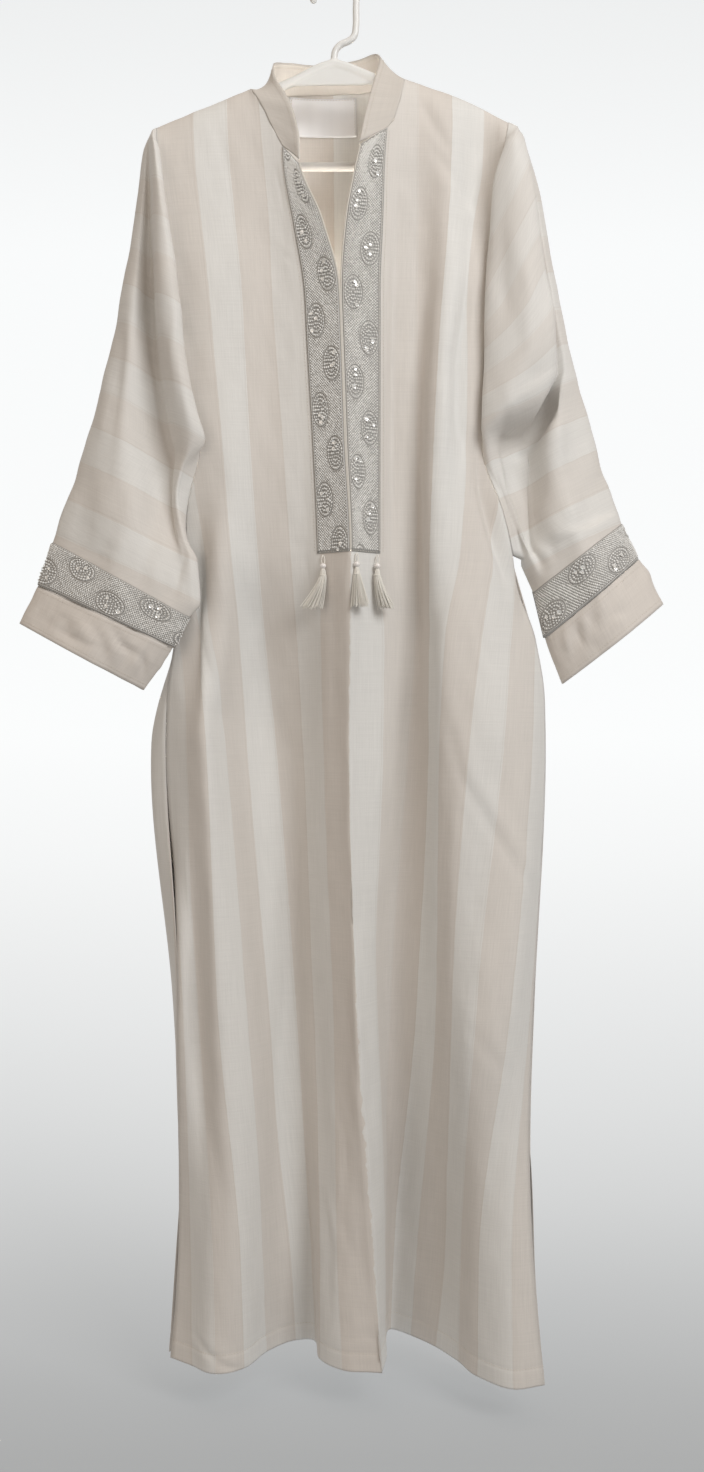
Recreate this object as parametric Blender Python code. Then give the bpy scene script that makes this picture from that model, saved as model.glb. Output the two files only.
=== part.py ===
"""A striped jebba on a plastic hanger: a long loose gown of light woven cloth, slit at the neck
between two embroidered ribbons, with wide sleeves, plain cuffs, a stand collar and three tassels.

Sizes are in millimetres. X runs along the shoulders, the front faces -Y, and Z is up. The origin is
the inner top of the hook, where the hanger hangs. "Down" is the distance below it."""

import math

import bmesh
import bpy
import numpy as np

MM = 0.001
CLOTH = 1.2              # thickness of a cloth wall
RIBBON = 1.0             # thickness of the embroidered ribbon
SEAM = 0.5               # gap between pieces that are sewn together
REST = 0.35              # gap under a piece that lies on a panel
STRIPE = 39.0            # width of one stripe of the cloth
SHARP = 40               # degrees between faces, above which an edge looks sharp
HALF_SLIT = 0.35         # half the gap of the slit in the front
SLIT_END = 645.0         # down, where the neck slit and its ribbons end
ARMHOLE_CLOSES = 480.0   # down, from where the back's edge comes forward to the front's
ARMHOLE_END = 640.0      # down, where the two edges meet in the side seam
SIDE_OPENING = 1290.0    # down, where the side seams end in openings
HEM = 1528.0             # down, the mean height of the hem
HEM_SWING = 0.10         # how far the hem lifts for each millimetre that a fold runs back
ROLL = 22.0              # how fast the cloth falls away from the shoulder seam
RIBBON_WIDTH = 42.0
REAR_DROP = 4.0          # how much lower the back hangs at the hem

# Each row is a level, and each column after it is the edge of a stripe, counted from the middle.
# The numbers give where that edge of a stripe hangs: across (X), or back (Y).
LEFT_ACROSS = [
    # down   0    1     2     3     4     5     6     7     8     9
    (131, -37, -55, -84, -119, -157, -195, -225, -250, -280, -310),
    (219, -37, -52, -76, -114, -152, -190, -222, -250, -280, -310),
    (290, -12, -40, -70, -107, -144, -181, -212, -245, -275, -305),
    (362, 6.3, -28, -67, -100, -136, -174, -205, -235, -265, -295),
    (420, 8.9, -25, -63, -97, -131, -168, -198, -228, -258, -288),
    (527, 12.6, -19, -55, -91, -121, -156, -185, -215, -245, -275),
    (645, 18.6, -14, -47, -83, -112, -141, -166, -188, -210, -230),
    (735, 18, -13, -41, -77, -105, -133, -149, -169, -193, -215),
    (851, 17, -9, -35, -66, -98, -118, -137, -159, -189, -205),
    (1132, 25, 0, -21, -45, -76, -97, -125, -149, -164, -190),
    (1407, 43, 4, -16, -25, -51, -78, -101, -130, -158, -178),
    (1528, 53, 10, -15, -21, -45, -75, -97, -128, -155, -185),
]
LEFT_BACK = [
    (131, -24, -26, -22, -20, -18, -14, -12, -10, -8, -6),
    (219, -44, -36, -29, -27, -26, -20, -16, -14, -12, -10),
    (290, -54, -38, -30, -31, -31, -24, -18, -16, -14, -12),
    (362, -58, -40, -32, -35, -36, -26, -20, -16, -12, -8),
    (420, -60, -41, -33, -35, -37, -27, -19, -13, -8, -2),
    (527, -62, -42, -34, -36, -40, -28, -16, -8, 0, 8),
    (645, -62, -38, -26, -26, -34, -28, -12, 0, 8, 16),
    (735, -54, -26, -4, 8, -8, -30, -30, -10, 4, 16),
    (851, -44, -14, 14, 32, 12, -18, -44, -22, 6, 26),
    (1132, -46, -18, 12, 32, 12, -20, -38, -12, -22, 6),
    (1407, -34, -22, -4, 34, 26, -4, -32, -30, -6, 14),
    (1528, -30, -22, 3, 46, 48, 20, -20, -30, -12, 10),
]
RIGHT_ACROSS = [
    (131, 48, 62, 92, 129, 166, 197, 230, 262, 294, 326),
    (219, 27, 53, 91, 127, 163, 190, 222, 254, 286, 318),
    (290, 14, 50, 91, 123, 152, 182, 212, 244, 276, 308),
    (362, 9.0, 47, 90, 119, 147, 175, 206, 238, 270, 302),
    (420, 10.7, 47, 90, 115, 146, 175, 205, 237, 268, 299),
    (527, 14.4, 47, 90, 109, 144, 176, 204, 234, 264, 294),
    (645, 19.4, 47, 90, 106, 136, 170, 198, 220, 240, 262),
    (735, 18, 53, 89, 103, 120, 157, 191, 218, 238, 256),
    (851, 17, 52, 82, 104, 115, 143, 181, 213, 235, 250),
    (1132, 25, 43, 63, 91, 112, 126, 151, 188, 213, 232),
    (1407, 43, 55, 57, 69, 95, 123, 139, 155, 184, 214),
    (1528, 53, 59, 59, 64, 88, 112, 137, 154, 184, 217),
]
RIGHT_BACK = [
    (131, -26, -27, -24, -24, -14, -22, -18, -14, -10, -6),
    (219, -42, -38, -30, -32, -12, -34, -26, -20, -16, -12),
    (290, -52, -42, -28, -36, -26, -24, -20, -16, -12, -8),
    (362, -56, -46, -28, -40, -40, -22, -18, -14, -10, -6),
    (420, -59, -45, -27, -43, -40, -21, -15, -9, -4, 0),
    (527, -62, -42, -26, -48, -40, -20, -8, 0, 6, 12),
    (645, -62, -40, -18, -46, -54, -40, -18, 0, 8, 14),
    (735, -54, -30, -8, -34, -58, -56, -38, -14, 4, 14),
    (851, -44, -22, 4, -14, -48, -62, -58, -36, -6, 16),
    (1132, -46, -12, 20, 6, -22, -46, -64, -62, -34, -2),
    (1407, -34, 3, 38, 64, 48, 24, -8, -40, -60, -48),
    (1528, -30, 9, 46, 74, 60, 32, -2, -36, -64, -52),
]
# The back panel, with a column for every second stripe edge from the left side to the right.
REAR_COLUMNS = (-9, -7, -5, -3, -1, 1, 3, 5, 7, 9)
REAR_ACROSS = [
    # down  -9    -7    -5    -3    -1   1   3    5    7    9
    (131, -340, -265, -195, -119, -42, 40, 119, 197, 268, 342),
    (362, -318, -245, -178, -112, -38, 40, 112, 176, 245, 318),
    (527, -290, -224, -160, -104, -34, 40, 110, 174, 236, 300),
    (645, -250, -196, -146, -98, -32, 40, 106, 172, 226, 276),
    (735, -220, -190, -146, -92, -30, 40, 102, 168, 228, 260),
    (851, -150, -204, -152, -90, -26, 38, 100, 160, 226, 236),
    (1132, -150, -178, -144, -84, -16, 42, 96, 154, 212, 232),
    (1407, -178, -160, -122, -84, -28, 48, 98, 150, 186, 219),
    (1528, -186, -158, -120, -82, -36, 50, 100, 148, 188, 225),
]
REAR_BACK = [
    (131, 6, 14, 22, 40, 60, 60, 42, 24, 14, 6),
    (362, 12, 18, 20, 38, 30, 34, 40, 22, 18, 12),
    (527, 8, 18, 24, 40, 30, 36, 46, 26, 18, 8),
    (645, 10, 14, 26, 50, 30, 44, 38, 24, 14, 10),
    (735, 14, 20, 52, 60, 40, 62, 40, 46, 20, 12),
    (851, -10, 26, 60, 62, 54, 70, 36, 50, 24, 14),
    (1132, -6, 28, 66, 74, 58, 86, 44, 66, 30, -2),
    (1407, 24, 34, 64, 56, 70, 96, 66, 84, 24, -36),
    (1528, 26, 46, 72, 56, 76, 106, 68, 88, 36, -38),
]
# Half the width of the cut cloth at each level: armhole, flare below the arm, side seam, hem.
CUT_DOWN = (131, 219, 290, 362, 439, 527, 600, 645, 735, 800, 851, 1132, 1407, 1540)
CUT_LEFT = (197, 196, 195, 194, 189, 182, 214, 228, 280, 300, 306, 321, 338, 345)
CUT_RIGHT = (197, 186, 181, 180, 178, 177, 203, 226, 275, 300, 306, 321, 338, 345)

# Edges at the top: distance from the middle of the cloth, and how far down.
SHOULDER = {-1: ((88, 131), (158, 158), (198, 174)), 1: ((62, 120), (124, 140), (198, 171))}
FRONT_NECK = {
    -1: ((0, 217), (42, 218), (58, 196), (76, 156), (88, 131)),
    1: ((0, 209), (42, 186), (50, 176), (57, 150), (62, 120)),
}
REAR_NECK = ((-88, 131), (-66, 119), (-20, 113), (20, 112), (48, 114), (62, 120))
NECK_POINT = {-1: 88.0, 1: 62.0}
NECK_RISE = 1.5          # how steeply the guide of the shoulder rises inward of the neck

# Sleeves: a row for each ring from the shoulder to the cuff. "In" and "out" say how far down its
# two ends are, and the seam is where it closes under the arm, or None where it is sewn to the
# armhole. Then come five lines of the front (across, back), the outer edge, and the back's depth.
LEFT_SLEEVE = [
    # in  out  seam         edge        front       crest       groove      face         outer rear
    (179, 182, None, None, -196, -13, -197, -13, -198, -12, -199, -9, -200, -6, -201, 2),
    (190, 189, None, None, -194, -22, -196, -25, -199, -20, -201, -13, -203, -8, -205, 4),
    (205, 200, None, None, -189, -26, -193, -32, -198, -24, -202, -12, -205, -10, -209, 6),
    (250, 248, None, None, -182, -40, -187, -47, -195, -36, -201, -12, -208, -14, -215, 10),
    (310, 304, None, None, -173, -47, -179, -56, -191, -46, -201, -10, -212, -18, -223, 13),
    (375, 367, None, None, -164, -50, -172, -60, -187, -48, -199, -8, -217, -24, -234, 17),
    (440, 420, None, None, -157, -50, -166, -60, -182, -46, -195, -8, -222, -30, -245, 20),
    (495, 470, None, None, -147, -49, -158, -58, -176, -42, -189, -8, -227, -34, -257, 24),
    (524, 505, None, None, -138, -46, -152, -54, -171, -38, -184, -8, -230, -37, -267, 26),
    (537, 520, None, None, -147, -44, -156, -48, -169, -32, -180, -8, -231, -38, -271, 26),
    (552, 538, None, None, -158, -38, -163, -41, -171, -27, -178, -10, -231, -39, -277, 27),
    (583, 565, None, None, -166, -32, -169, -36, -173, -28, -178, -18, -231, -41, -285, 28),
    (628, 593, None, None, -158, -34, -161, -40, -166, -38, -177, -30, -231, -43, -296, 29),
    (652, 608, -169, -17, -148, -35, -152, -43, -161, -42, -177, -38, -231, -43, -301, 29),
    (698, 623, -179, -15, -146, -35, -150, -43, -160, -45, -180, -44, -231, -43, -306, 27),
    (713, 629, -184, -13, -156, -34, -160, -41, -170, -44, -186, -44, -234, -43, -308, 26),
    (745, 676, -191, -11, -173, -27, -177, -34, -187, -39, -203, -42, -250, -41, -324, 25),
]
RIGHT_SLEEVE = [
    (176, 180, None, None, 200, -14, 201, -14, 202, -12, 203, -9, 204, -6, 205, 2),
    (190, 188, None, None, 193, -30, 198, -32, 205, -24, 207, -14, 208, -8, 209, 4),
    (205, 200, None, None, 186, -40, 196, -44, 207, -34, 209, -16, 211, -11, 213, 6),
    (250, 245, None, None, 173, -40, 194, -52, 214, -46, 217, -18, 221, -14, 226, 10),
    (310, 296, None, None, 171, -44, 197, -58, 220, -52, 223, -20, 229, -16, 235, 13),
    (380, 345, None, None, 167, -48, 200, -62, 228, -56, 230, -20, 237, -18, 243, 17),
    (450, 396, None, None, 165, -50, 202, -66, 236, -58, 238, -20, 246, -20, 253, 20),
    (510, 436, None, None, 163, -48, 188, -62, 236, -52, 239, -18, 252, -22, 262, 22),
    (517, 447, None, None, 165, -44, 186, -46, 224, -34, 232, -8, 252, -23, 265, 23),
    (526, 462, None, None, 168, -36, 184, -26, 212, -8, 226, -4, 254, -25, 268, 24),
    (552, 510, None, None, 173, -28, 184, -30, 206, -6, 224, -14, 258, -30, 281, 26),
    (595, 560, None, None, 188, -26, 200, -33, 212, -12, 224, -22, 262, -35, 299, 28),
    (640, 592, None, None, 205, -22, 212, -29, 218, -20, 228, -27, 267, -38, 310, 29),
    (655, 598, 206, -6, 210, -16, 216, -25, 223, -21, 234, -29, 270, -38, 312, 28),
    (683, 609, 219, -4, 221, -9, 225, -16, 234, -24, 248, -31, 276, -38, 315, 26),
    (734, 647, 231, -6, 232, -10, 236, -16, 246, -24, 261, -31, 294, -36, 335, 25),
]
CUFF = {
    -1: ((745.6, 676.6, -191, -11, -174, -27, -178, -34, -188, -39, -204, -42, -251, -41, -325, 25),
         (768, 698, -199, -11, -190, -22, -194, -28, -203, -34, -219, -38, -265, -39, -335, 24),
         (791, 718, -209, -12, -207, -17, -211, -22, -220, -28, -236, -33, -278, -37, -345, 23)),
    1: ((734.4, 647.4, 232, -6, 233, -10, 237, -16, 247, -24, 262, -31, 295, -36, 336, 25),
        (760, 672, 241, -6, 242, -9, 246, -15, 257, -23, 274, -30, 307, -35, 349, 24),
        (784, 697, 251, -5, 252, -8, 257, -13, 269, -22, 286, -29, 318, -34, 362, 23)),
}

COLLAR_TOP = [
    # along, across, back, down: the collar's free edge from its left end round to its right end
    (0.00, -38, -44, 212), (0.08, -38, -42, 188), (0.15, -44, -36, 164), (0.22, -55, -24, 139),
    (0.28, -65, -6, 117), (0.33, -66, 10, 99), (0.42, -52, 30, 89), (0.54, -12, 38, 89),
    (0.66, 28, 33, 84), (0.74, 47, 20, 83), (0.80, 51, 2, 97), (0.87, 43, -20, 132),
    (0.94, 34, -34, 170), (1.00, 28, -40, 203),
]


def smooth(knots, values, at, steady=False):
    """A curve through values at rising knots, read at many points; a steady one never overshoots."""
    knots, values, at = np.asarray(knots, float), np.asarray(values, float), np.asarray(at, float)
    if values.ndim == 1:
        values = np.repeat(values[:, None], len(at), axis=1)
    if steady:
        rates = np.diff(values, axis=0) / np.diff(knots)[:, None]
        before, after = rates[:-1], rates[1:]
        same = before * after > 0
        mean = np.where(same, 2 * before * after / np.where(same, before + after, 1.0), 0.0)
        slopes = np.vstack([rates[:1], mean, rates[-1:]])
    else:
        slopes = np.gradient(values, knots, axis=0)
    low = np.clip(np.searchsorted(knots, at) - 1, 0, len(knots) - 2)
    span = knots[low + 1] - knots[low]
    part = np.clip((at - knots[low]) / span, 0.0, 1.0)
    one = np.arange(len(at))
    start, end = values[low, one], values[low + 1, one]
    lean, land = slopes[low, one] * span, slopes[low + 1, one] * span
    square, cube = part ** 2, part ** 3
    return ((2 * cube - 3 * square + 1) * start + (cube - 2 * square + part) * lean
            + (3 * square - 2 * cube) * end + (cube - square) * land)


def read_table(table, columns, across, down):
    """Reads a table of levels and columns as one smooth surface."""
    levels = [row[0] for row in table]
    at_levels = np.array([smooth(columns, row[1:], across) for row in table])
    return smooth(levels, at_levels, down, steady=True)


def cut_edge(side, down):
    """Half the width of the cut cloth on one side."""
    return smooth(CUT_DOWN, CUT_LEFT if side < 0 else CUT_RIGHT, down, steady=True)


def shoulder_line(side, out):
    """How far down the shoulder seam is, also inward of the neck, where it is only a guide."""
    near, middle, far = SHOULDER[side]
    inner = near[1] - (near[0] - out) * NECK_RISE
    line = np.interp(out, [near[0], middle[0], far[0]], [near[1], middle[1], far[1]])
    return np.where(out < near[0], inner, line)


def fall(below):
    """How much of its depth the cloth has reached at a distance below the shoulder seam."""
    return np.sqrt(1.0 - np.exp(-np.maximum(below, 0.0) / ROLL))


def front_points(side, out, down):
    """Points of the front panel, by the distance from its middle along the cloth and down."""
    out, down = np.broadcast_arrays(np.asarray(out, float), np.asarray(down, float))
    shape, out, down = out.shape, out.ravel(), down.ravel()
    across, back = (LEFT_ACROSS, LEFT_BACK) if side < 0 else (RIGHT_ACROSS, RIGHT_BACK)
    columns = np.arange(10) * STRIPE
    x = read_table(across, columns, out, down)
    y = read_table(back, columns, out, down) * fall(down - shoulder_line(side, out))
    return np.stack([x, y, -down], axis=-1).reshape(shape + (3,))


def rear_points(out, down):
    """Points of the back panel; "out" runs from its left edge, negative, to its right edge."""
    out, down = np.broadcast_arrays(np.asarray(out, float), np.asarray(down, float))
    shape, out, down = out.shape, out.ravel(), down.ravel()
    columns = np.array(REAR_COLUMNS) * STRIPE
    x = read_table(REAR_ACROSS, columns, out, down)
    y = read_table(REAR_BACK, columns, out, down)
    seam = np.where(out < 0, shoulder_line(-1, -out), shoulder_line(1, out))
    y = y * fall(down - seam)
    points = np.stack([x, y, -down], axis=-1)
    for side in (-1, 1):
        edge = cut_edge(side, down)
        target = front_points(side, edge, down)
        own_x = read_table(REAR_ACROSS, columns, side * edge, down)
        own_y = read_table(REAR_BACK, columns, side * edge, down) * fall(down - shoulder_line(side, edge))
        joined = np.clip((down - ARMHOLE_CLOSES) / (ARMHOLE_END - ARMHOLE_CLOSES), 0.0, 1.0)
        opened = np.clip((down - SIDE_OPENING) / 120.0, 0.0, 1.0)
        near = np.clip(1.0 - (edge - side * out) / 70.0, 0.0, 1.0) ** 2
        near *= joined ** 2 * (3 - 2 * joined) * (1.0 - opened) ** 2
        points[:, 0] += near * (target[:, 0] - own_x + side * 0.3)
        points[:, 1] += near * (target[:, 1] - own_y + CLOTH + SEAM)
    return points.reshape(shape + (3,))


def hem_line(points):
    """Lets the hem rise where the folds run back, and drop where they come forward."""
    return HEM - HEM_SWING * points[..., 1]


def grid_faces(rows, columns, skip=None, closed=False):
    """Faces of a net of rows and columns; skip(row, column) leaves a cell open."""
    faces = []
    for i in range(rows - 1):
        for j in range(columns - (0 if closed else 1)):
            if skip and skip(i, j):
                continue
            k = (j + 1) % columns
            faces.append((i * columns + j, i * columns + k, (i + 1) * columns + k, (i + 1) * columns + j))
    return faces


def point_normals(net, faces):
    """Mean direction of the faces round each point of a net."""
    points = net.reshape(-1, 3)
    total = np.zeros_like(points)
    for face in faces:
        a, b, c, d = points[list(face)]
        area = np.cross(c - a, d - b)
        for index in face:
            total[index] += area
    total /= np.maximum(np.linalg.norm(total, axis=1, keepdims=True), 1e-9)
    return total.reshape(net.shape)


def read_net(net, rows, columns):
    """A smaller net at fractional rows and columns of another one."""
    rows, columns = np.asarray(rows, float), np.asarray(columns, float)
    i = np.minimum(rows.astype(int), net.shape[0] - 2)
    j = np.minimum(columns.astype(int), net.shape[1] - 2)
    down, over = (rows - i)[:, None, None], (columns - j)[None, :, None]
    near = net[np.ix_(i, j)] * (1 - over) + net[np.ix_(i, j + 1)] * over
    far = net[np.ix_(i + 1, j)] * (1 - over) + net[np.ix_(i + 1, j + 1)] * over
    return near * (1 - down) + far * down


def lay_on(name, net, normals, rows, columns, rest, thickness, colour, roughness):
    """A piece that lies on a panel: the panel's own points, moved out."""
    base, away = read_net(net, rows, columns), read_net(normals, rows, columns)
    faces = grid_faces(len(rows), len(columns))
    return slab(name, base + away * rest, base + away * (rest + thickness), faces, colour, roughness)


def finish(name, vertices, faces, colour, roughness):
    """Makes one named object with its own material from points in millimetres."""
    mesh = bpy.data.meshes.new(name)
    mesh.from_pydata([tuple(v) for v in np.asarray(vertices) * MM], [], faces)
    bm = bmesh.new()
    bm.from_mesh(mesh)
    bmesh.ops.recalc_face_normals(bm, faces=bm.faces)
    if bm.calc_volume(signed=True) < 0:
        bmesh.ops.reverse_faces(bm, faces=bm.faces)
    bm.to_mesh(mesh)
    bm.free()
    mesh.shade_smooth()
    mesh.set_sharp_from_angle(angle=math.radians(SHARP))
    material = bpy.data.materials.new(name)
    material.use_nodes = True
    shader = material.node_tree.nodes["Principled BSDF"]
    shader.inputs["Base Color"].default_value = (*colour, 1.0)
    shader.inputs["Roughness"].default_value = roughness
    mesh.materials.append(material)
    piece = bpy.data.objects.new(name, mesh)
    bpy.context.collection.objects.link(piece)
    return piece


def split_faces(faces, points):
    """Splits each face along its shorter diagonal, so that both sides of a wall fold alike."""
    halves = []
    for a, b, c, d in faces:
        if np.linalg.norm(points[a] - points[c]) <= np.linalg.norm(points[b] - points[d]):
            halves += [(a, b, c), (a, c, d)]
        else:
            halves += [(a, b, d), (b, c, d)]
    return halves


def slab(name, low, high, faces, colour, roughness=0.85):
    """A closed solid between two nets of the same points, one below and one above."""
    low, high = np.asarray(low).reshape(-1, 3), np.asarray(high).reshape(-1, 3)
    faces = split_faces(faces, (low + high) / 2)
    used = sorted({index for face in faces for index in face})
    renumber = {old: new for new, old in enumerate(used)}
    faces = [tuple(renumber[index] for index in face) for face in faces]
    count = len(used)
    solid = list(faces) + [tuple(index + count for index in reversed(face)) for face in faces]
    edges = {(a, b) for face in faces for a, b in zip(face, face[1:] + face[:1])}
    solid += [(b, a, a + count, b + count) for a, b in sorted(edges) if (b, a) not in edges]
    return finish(name, np.vstack([high[used], low[used]]), solid, colour, roughness)


def wall(name, net, faces, colour):
    """A cloth wall: a net given its thickness, half to each side."""
    normals = point_normals(net, faces)
    return slab(name, net - normals * CLOTH / 2, net + normals * CLOTH / 2, faces, colour)


def band(name, net, normals, faces, first, last):
    """The rows of a panel from first to last as one solid, drawn in a little where it meets another."""
    rows, columns = net.shape[:2]
    part = net.copy()
    if first > 0:
        step = net[first + 1] - net[first]
        part[first] += step / np.linalg.norm(step, axis=-1, keepdims=True) * SEAM / 2
    if last < rows - 1:
        step = net[last] - net[last - 1]
        part[last] -= step / np.linalg.norm(step, axis=-1, keepdims=True) * SEAM / 2
    own = [face for face in faces if first <= face[0] // columns < last]
    slab(name, part - normals * CLOTH / 2, part + normals * CLOTH / 2, own, CLOTH_COLOUR)


CLOTH_COLOUR = (0.70, 0.66, 0.61)
CUFF_COLOUR = (0.62, 0.56, 0.50)
RIBBON_COLOUR = (0.42, 0.41, 0.40)
SATIN_COLOUR = (0.80, 0.80, 0.78)
THREAD_COLOUR = (0.72, 0.69, 0.63)
PLASTIC_COLOUR = (0.78, 0.78, 0.76)

# How the rows of the panels are spaced: from the top edge to the slit's end, then to the hem.
UPPER_ROWS = np.array([0, 0.0106, 0.035, 0.066, 0.11, 0.161, 0.222, 0.289, 0.36, 0.427, 0.496, 0.565,
                       0.63, 0.68, 0.715, 0.743, 0.803, 0.868, 0.935, 1.0])
LOWER_ROWS = np.linspace(0, 1, 11)[1:]
SKIRT_ROW = len(UPPER_ROWS) - 1                # the slit ends on this row
HEM_ROW = SKIRT_ROW + len(LOWER_ROWS) // 2     # and the long skirt is parted on this one
RIBBON_COLUMNS = (HALF_SLIT, 10, 21, 32, RIBBON_WIDTH + 1)
# Columns past the ribbon lie on the neck line and the stripe edges, up to the flare of the side.
FIXED_COLUMNS = {-1: (56, 70, 84, 88, 105, 122, 138, 155, 170),
                 1: (50, 57, 60, 62, 78, 97, 117, 136, 154, 170)}
FLARE_SHARES = np.linspace(0, 1, 7)[1:]
REAR_FIXED = (-170, -150, -130, -109, -88, -66, -43, -20, 2, 24, 45, 55, 62, 84, 109, 130, 150, 170)
REAR_SHARES = np.linspace(0, 1, 5)[1:]


def panel_downs(top, bottom):
    """Levels of one column of a panel."""
    upper = top + (SLIT_END - top) * UPPER_ROWS
    return np.concatenate([upper, SLIT_END + (bottom - SLIT_END) * LOWER_ROWS])


def front_top(side, out):
    """How far down the front's upper edge is: neck line, then shoulder seam."""
    neck = FRONT_NECK[side]
    line = np.interp(out, [p[0] for p in neck], [p[1] for p in neck])
    return np.where(out > NECK_POINT[side], shoulder_line(side, out), line) + SEAM / 2


def panel_column(points, side, out, share, top, lift=0.0):
    """One column of a panel, from its top to the hem; the share spreads it into the side's flare."""
    def place(down):
        return out + share * (cut_edge(side, down) - out) if share else np.full(len(down), float(out))
    begin = float(top(place([SHOULDER[side][2][1]])[0]))
    low = points(side, place([HEM]), [HEM])
    down = panel_downs(begin, float(hem_line(low)[0]) + lift)
    return points(side, place(down), down)


def front_net(side):
    """Points of half the front, from the slit to the side."""
    columns = [(out, 0.0) for out in RIBBON_COLUMNS + FIXED_COLUMNS[side]]
    columns += [(columns[-1][0], share) for share in FLARE_SHARES]
    net = [panel_column(front_points, side, out, share, lambda at: front_top(side, np.array(at)))
           for out, share in columns]
    return np.array(net).transpose(1, 0, 2)


def rear_net():
    """Points of the back, from its left side to its right side."""
    def points(side, out, down):
        return rear_points(side * np.asarray(out), down)
    def column(side, out, share):
        return panel_column(points, side, out, share, lambda at: rear_top(np.array(side * at)), REAR_DROP)
    net = [column(-1, -REAR_FIXED[0], share) for share in REAR_SHARES[::-1]]
    net += [column(-1 if out < 0 else 1, abs(out), 0.0) for out in REAR_FIXED]
    net += [column(1, REAR_FIXED[-1], share) for share in REAR_SHARES]
    return np.array(net).transpose(1, 0, 2)


def front_sheet():
    """The whole front as one net, its faces and its directions outward."""
    left, right = front_net(-1)[:, ::-1], front_net(1)
    net = np.concatenate([left, right], axis=1)
    middle = left.shape[1] - 1
    faces = grid_faces(*net.shape[:2], skip=lambda i, j: j == middle and i < SKIRT_ROW)
    normals = point_normals(net, faces)
    if normals[..., 1].mean() > 0:
        normals = -normals
    return net, faces, normals, middle


def make_front(sheet):
    """The front panel: its two halves beside the slit, its skirt, and the part above the hem."""
    net, faces, normals, middle = sheet
    columns, last = net.shape[1], net.shape[0] - 1
    left = [face for face in faces if face[0] % columns < middle]
    right = [face for face in faces if face[0] % columns > middle]
    band("front_chest_left", net, normals, left, 0, SKIRT_ROW)
    band("front_chest_right", net, normals, right, 0, SKIRT_ROW)
    band("front_skirt", net, normals, faces, SKIRT_ROW, HEM_ROW)
    band("front_hem", net, normals, faces, HEM_ROW, last)


def make_neck_ribbons(sheet):
    """Ribbons down both sides of the slit, laid on the front."""
    net, _, normals, middle = sheet
    rows = np.arange(len(UPPER_ROWS), dtype=float)
    rows[0] = 0.2
    columns = np.array([0.06, 1, 2, 3, 3.91])
    sides = {"trim_neck_left": middle - columns[::-1], "trim_neck_right": middle + 1 + columns}
    for name, places in sides.items():
        lay_on(name, net, normals, rows, places, CLOTH / 2 + REST, RIBBON, RIBBON_COLOUR, 0.5)


def rear_top(out):
    """How far down the back's upper edge is: shoulder seams and the neck between them."""
    line = np.interp(out, [p[0] for p in REAR_NECK], [p[1] for p in REAR_NECK])
    line = np.where(out < -NECK_POINT[-1], shoulder_line(-1, -out), line)
    return np.where(out > NECK_POINT[1], shoulder_line(1, out), line) + SEAM / 2


def make_back():
    """The back panel: its top down to the chest, its skirt, and the part above the hem."""
    net = rear_net()
    faces = grid_faces(*net.shape[:2])
    normals = point_normals(net, faces)
    band("back_chest", net, normals, faces, 0, SKIRT_ROW)
    band("back_skirt", net, normals, faces, SKIRT_ROW, HEM_ROW)
    band("back_hem", net, normals, faces, HEM_ROW, net.shape[0] - 1)
    return net, faces, normals if normals[..., 1].mean() > 0 else -normals


def make_label(sheet):
    """A blank satin label on the inside of the back, just under the neck seam."""
    net, _, normals = sheet
    rows = np.array([0.78, 1, 2, 3, 3.66])
    columns = np.array([9.87, 10, 11, 12, 12.98])
    lay_on("label", net, -normals, rows, columns, CLOTH / 2 + 3 * REST, 0.6, SATIN_COLOUR, 0.3)


SLEEVE_ROUND = np.array([0, 0.5, 1, 1.5, 2, 2.5, 3, 3.5, 4, 4.5, 5, 5.5, 6, 6.4, 7, 8, 9, 10])
# Levels of a sleeve below its armhole, and the one where the ribbon round its end begins.
LOWER_SLEEVE = {-1: (653, 672, 698, 713, 729, 745), 1: (653, 668, 683, 700, 717, 734)}
CUFF_RIBBON_TOP = {-1: 713, 1: 683}
# Each sleeve is parted on one of its rings, about level with the elbow.
SLEEVE_PARTING = {-1: 10, 1: 11}


def sleeve_ring(row, seam_front, seam_rear):
    """The lines of one ring: seam, five on the front, outer edge, three on the back, seam."""
    in_down, out_down, _, _, *lines, outer, rear = row
    line_x = np.array(lines[0::2] + [outer])
    line_y = np.array(lines[1::2] + [0.0])
    share = (line_x - line_x[0]) / (outer - line_x[0])
    front = np.stack([line_x, line_y, -(in_down + share * (out_down - in_down))], axis=-1)
    share = np.array([0.72, 0.4, 0.12])
    bulge = np.array([0.85, 1.0, 0.45])
    behind = np.stack([seam_rear[0] + share * (outer - seam_rear[0]),
                       seam_rear[1] * (1 - share) + rear * bulge,
                       -(in_down + share * (out_down - in_down))], axis=-1)
    return np.vstack([seam_front, front, behind, seam_rear])


def sleeve_net(rows, levels, seams):
    """Rings at the given levels, read from a table of rings and closed or sewn at the seams."""
    knots = [row[0] for row in rows]
    below = [row for row in rows if row[2] is not None]
    net = []
    for i, level in enumerate(levels):
        values = [smooth(knots, [row[k] for row in rows], [level], steady=True)[0] if k not in (2, 3)
                  else np.interp(level, [row[0] for row in below], [row[k] for row in below])
                  for k in range(len(rows[0]))]
        if i < len(seams):
            seam_front, seam_rear = seams[i]
        else:
            half = (CLOTH + SEAM) / 2
            seam_front = np.array([values[2], values[3] - half, -level])
            seam_rear = np.array([values[2], values[3] + half, -level])
        ring = sleeve_ring(values, seam_front, seam_rear)
        at = np.arange(len(ring))
        net.append(np.stack([smooth(at, ring[:, axis], SLEEVE_ROUND) for axis in range(3)], -1))
    return np.array(net)


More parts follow.
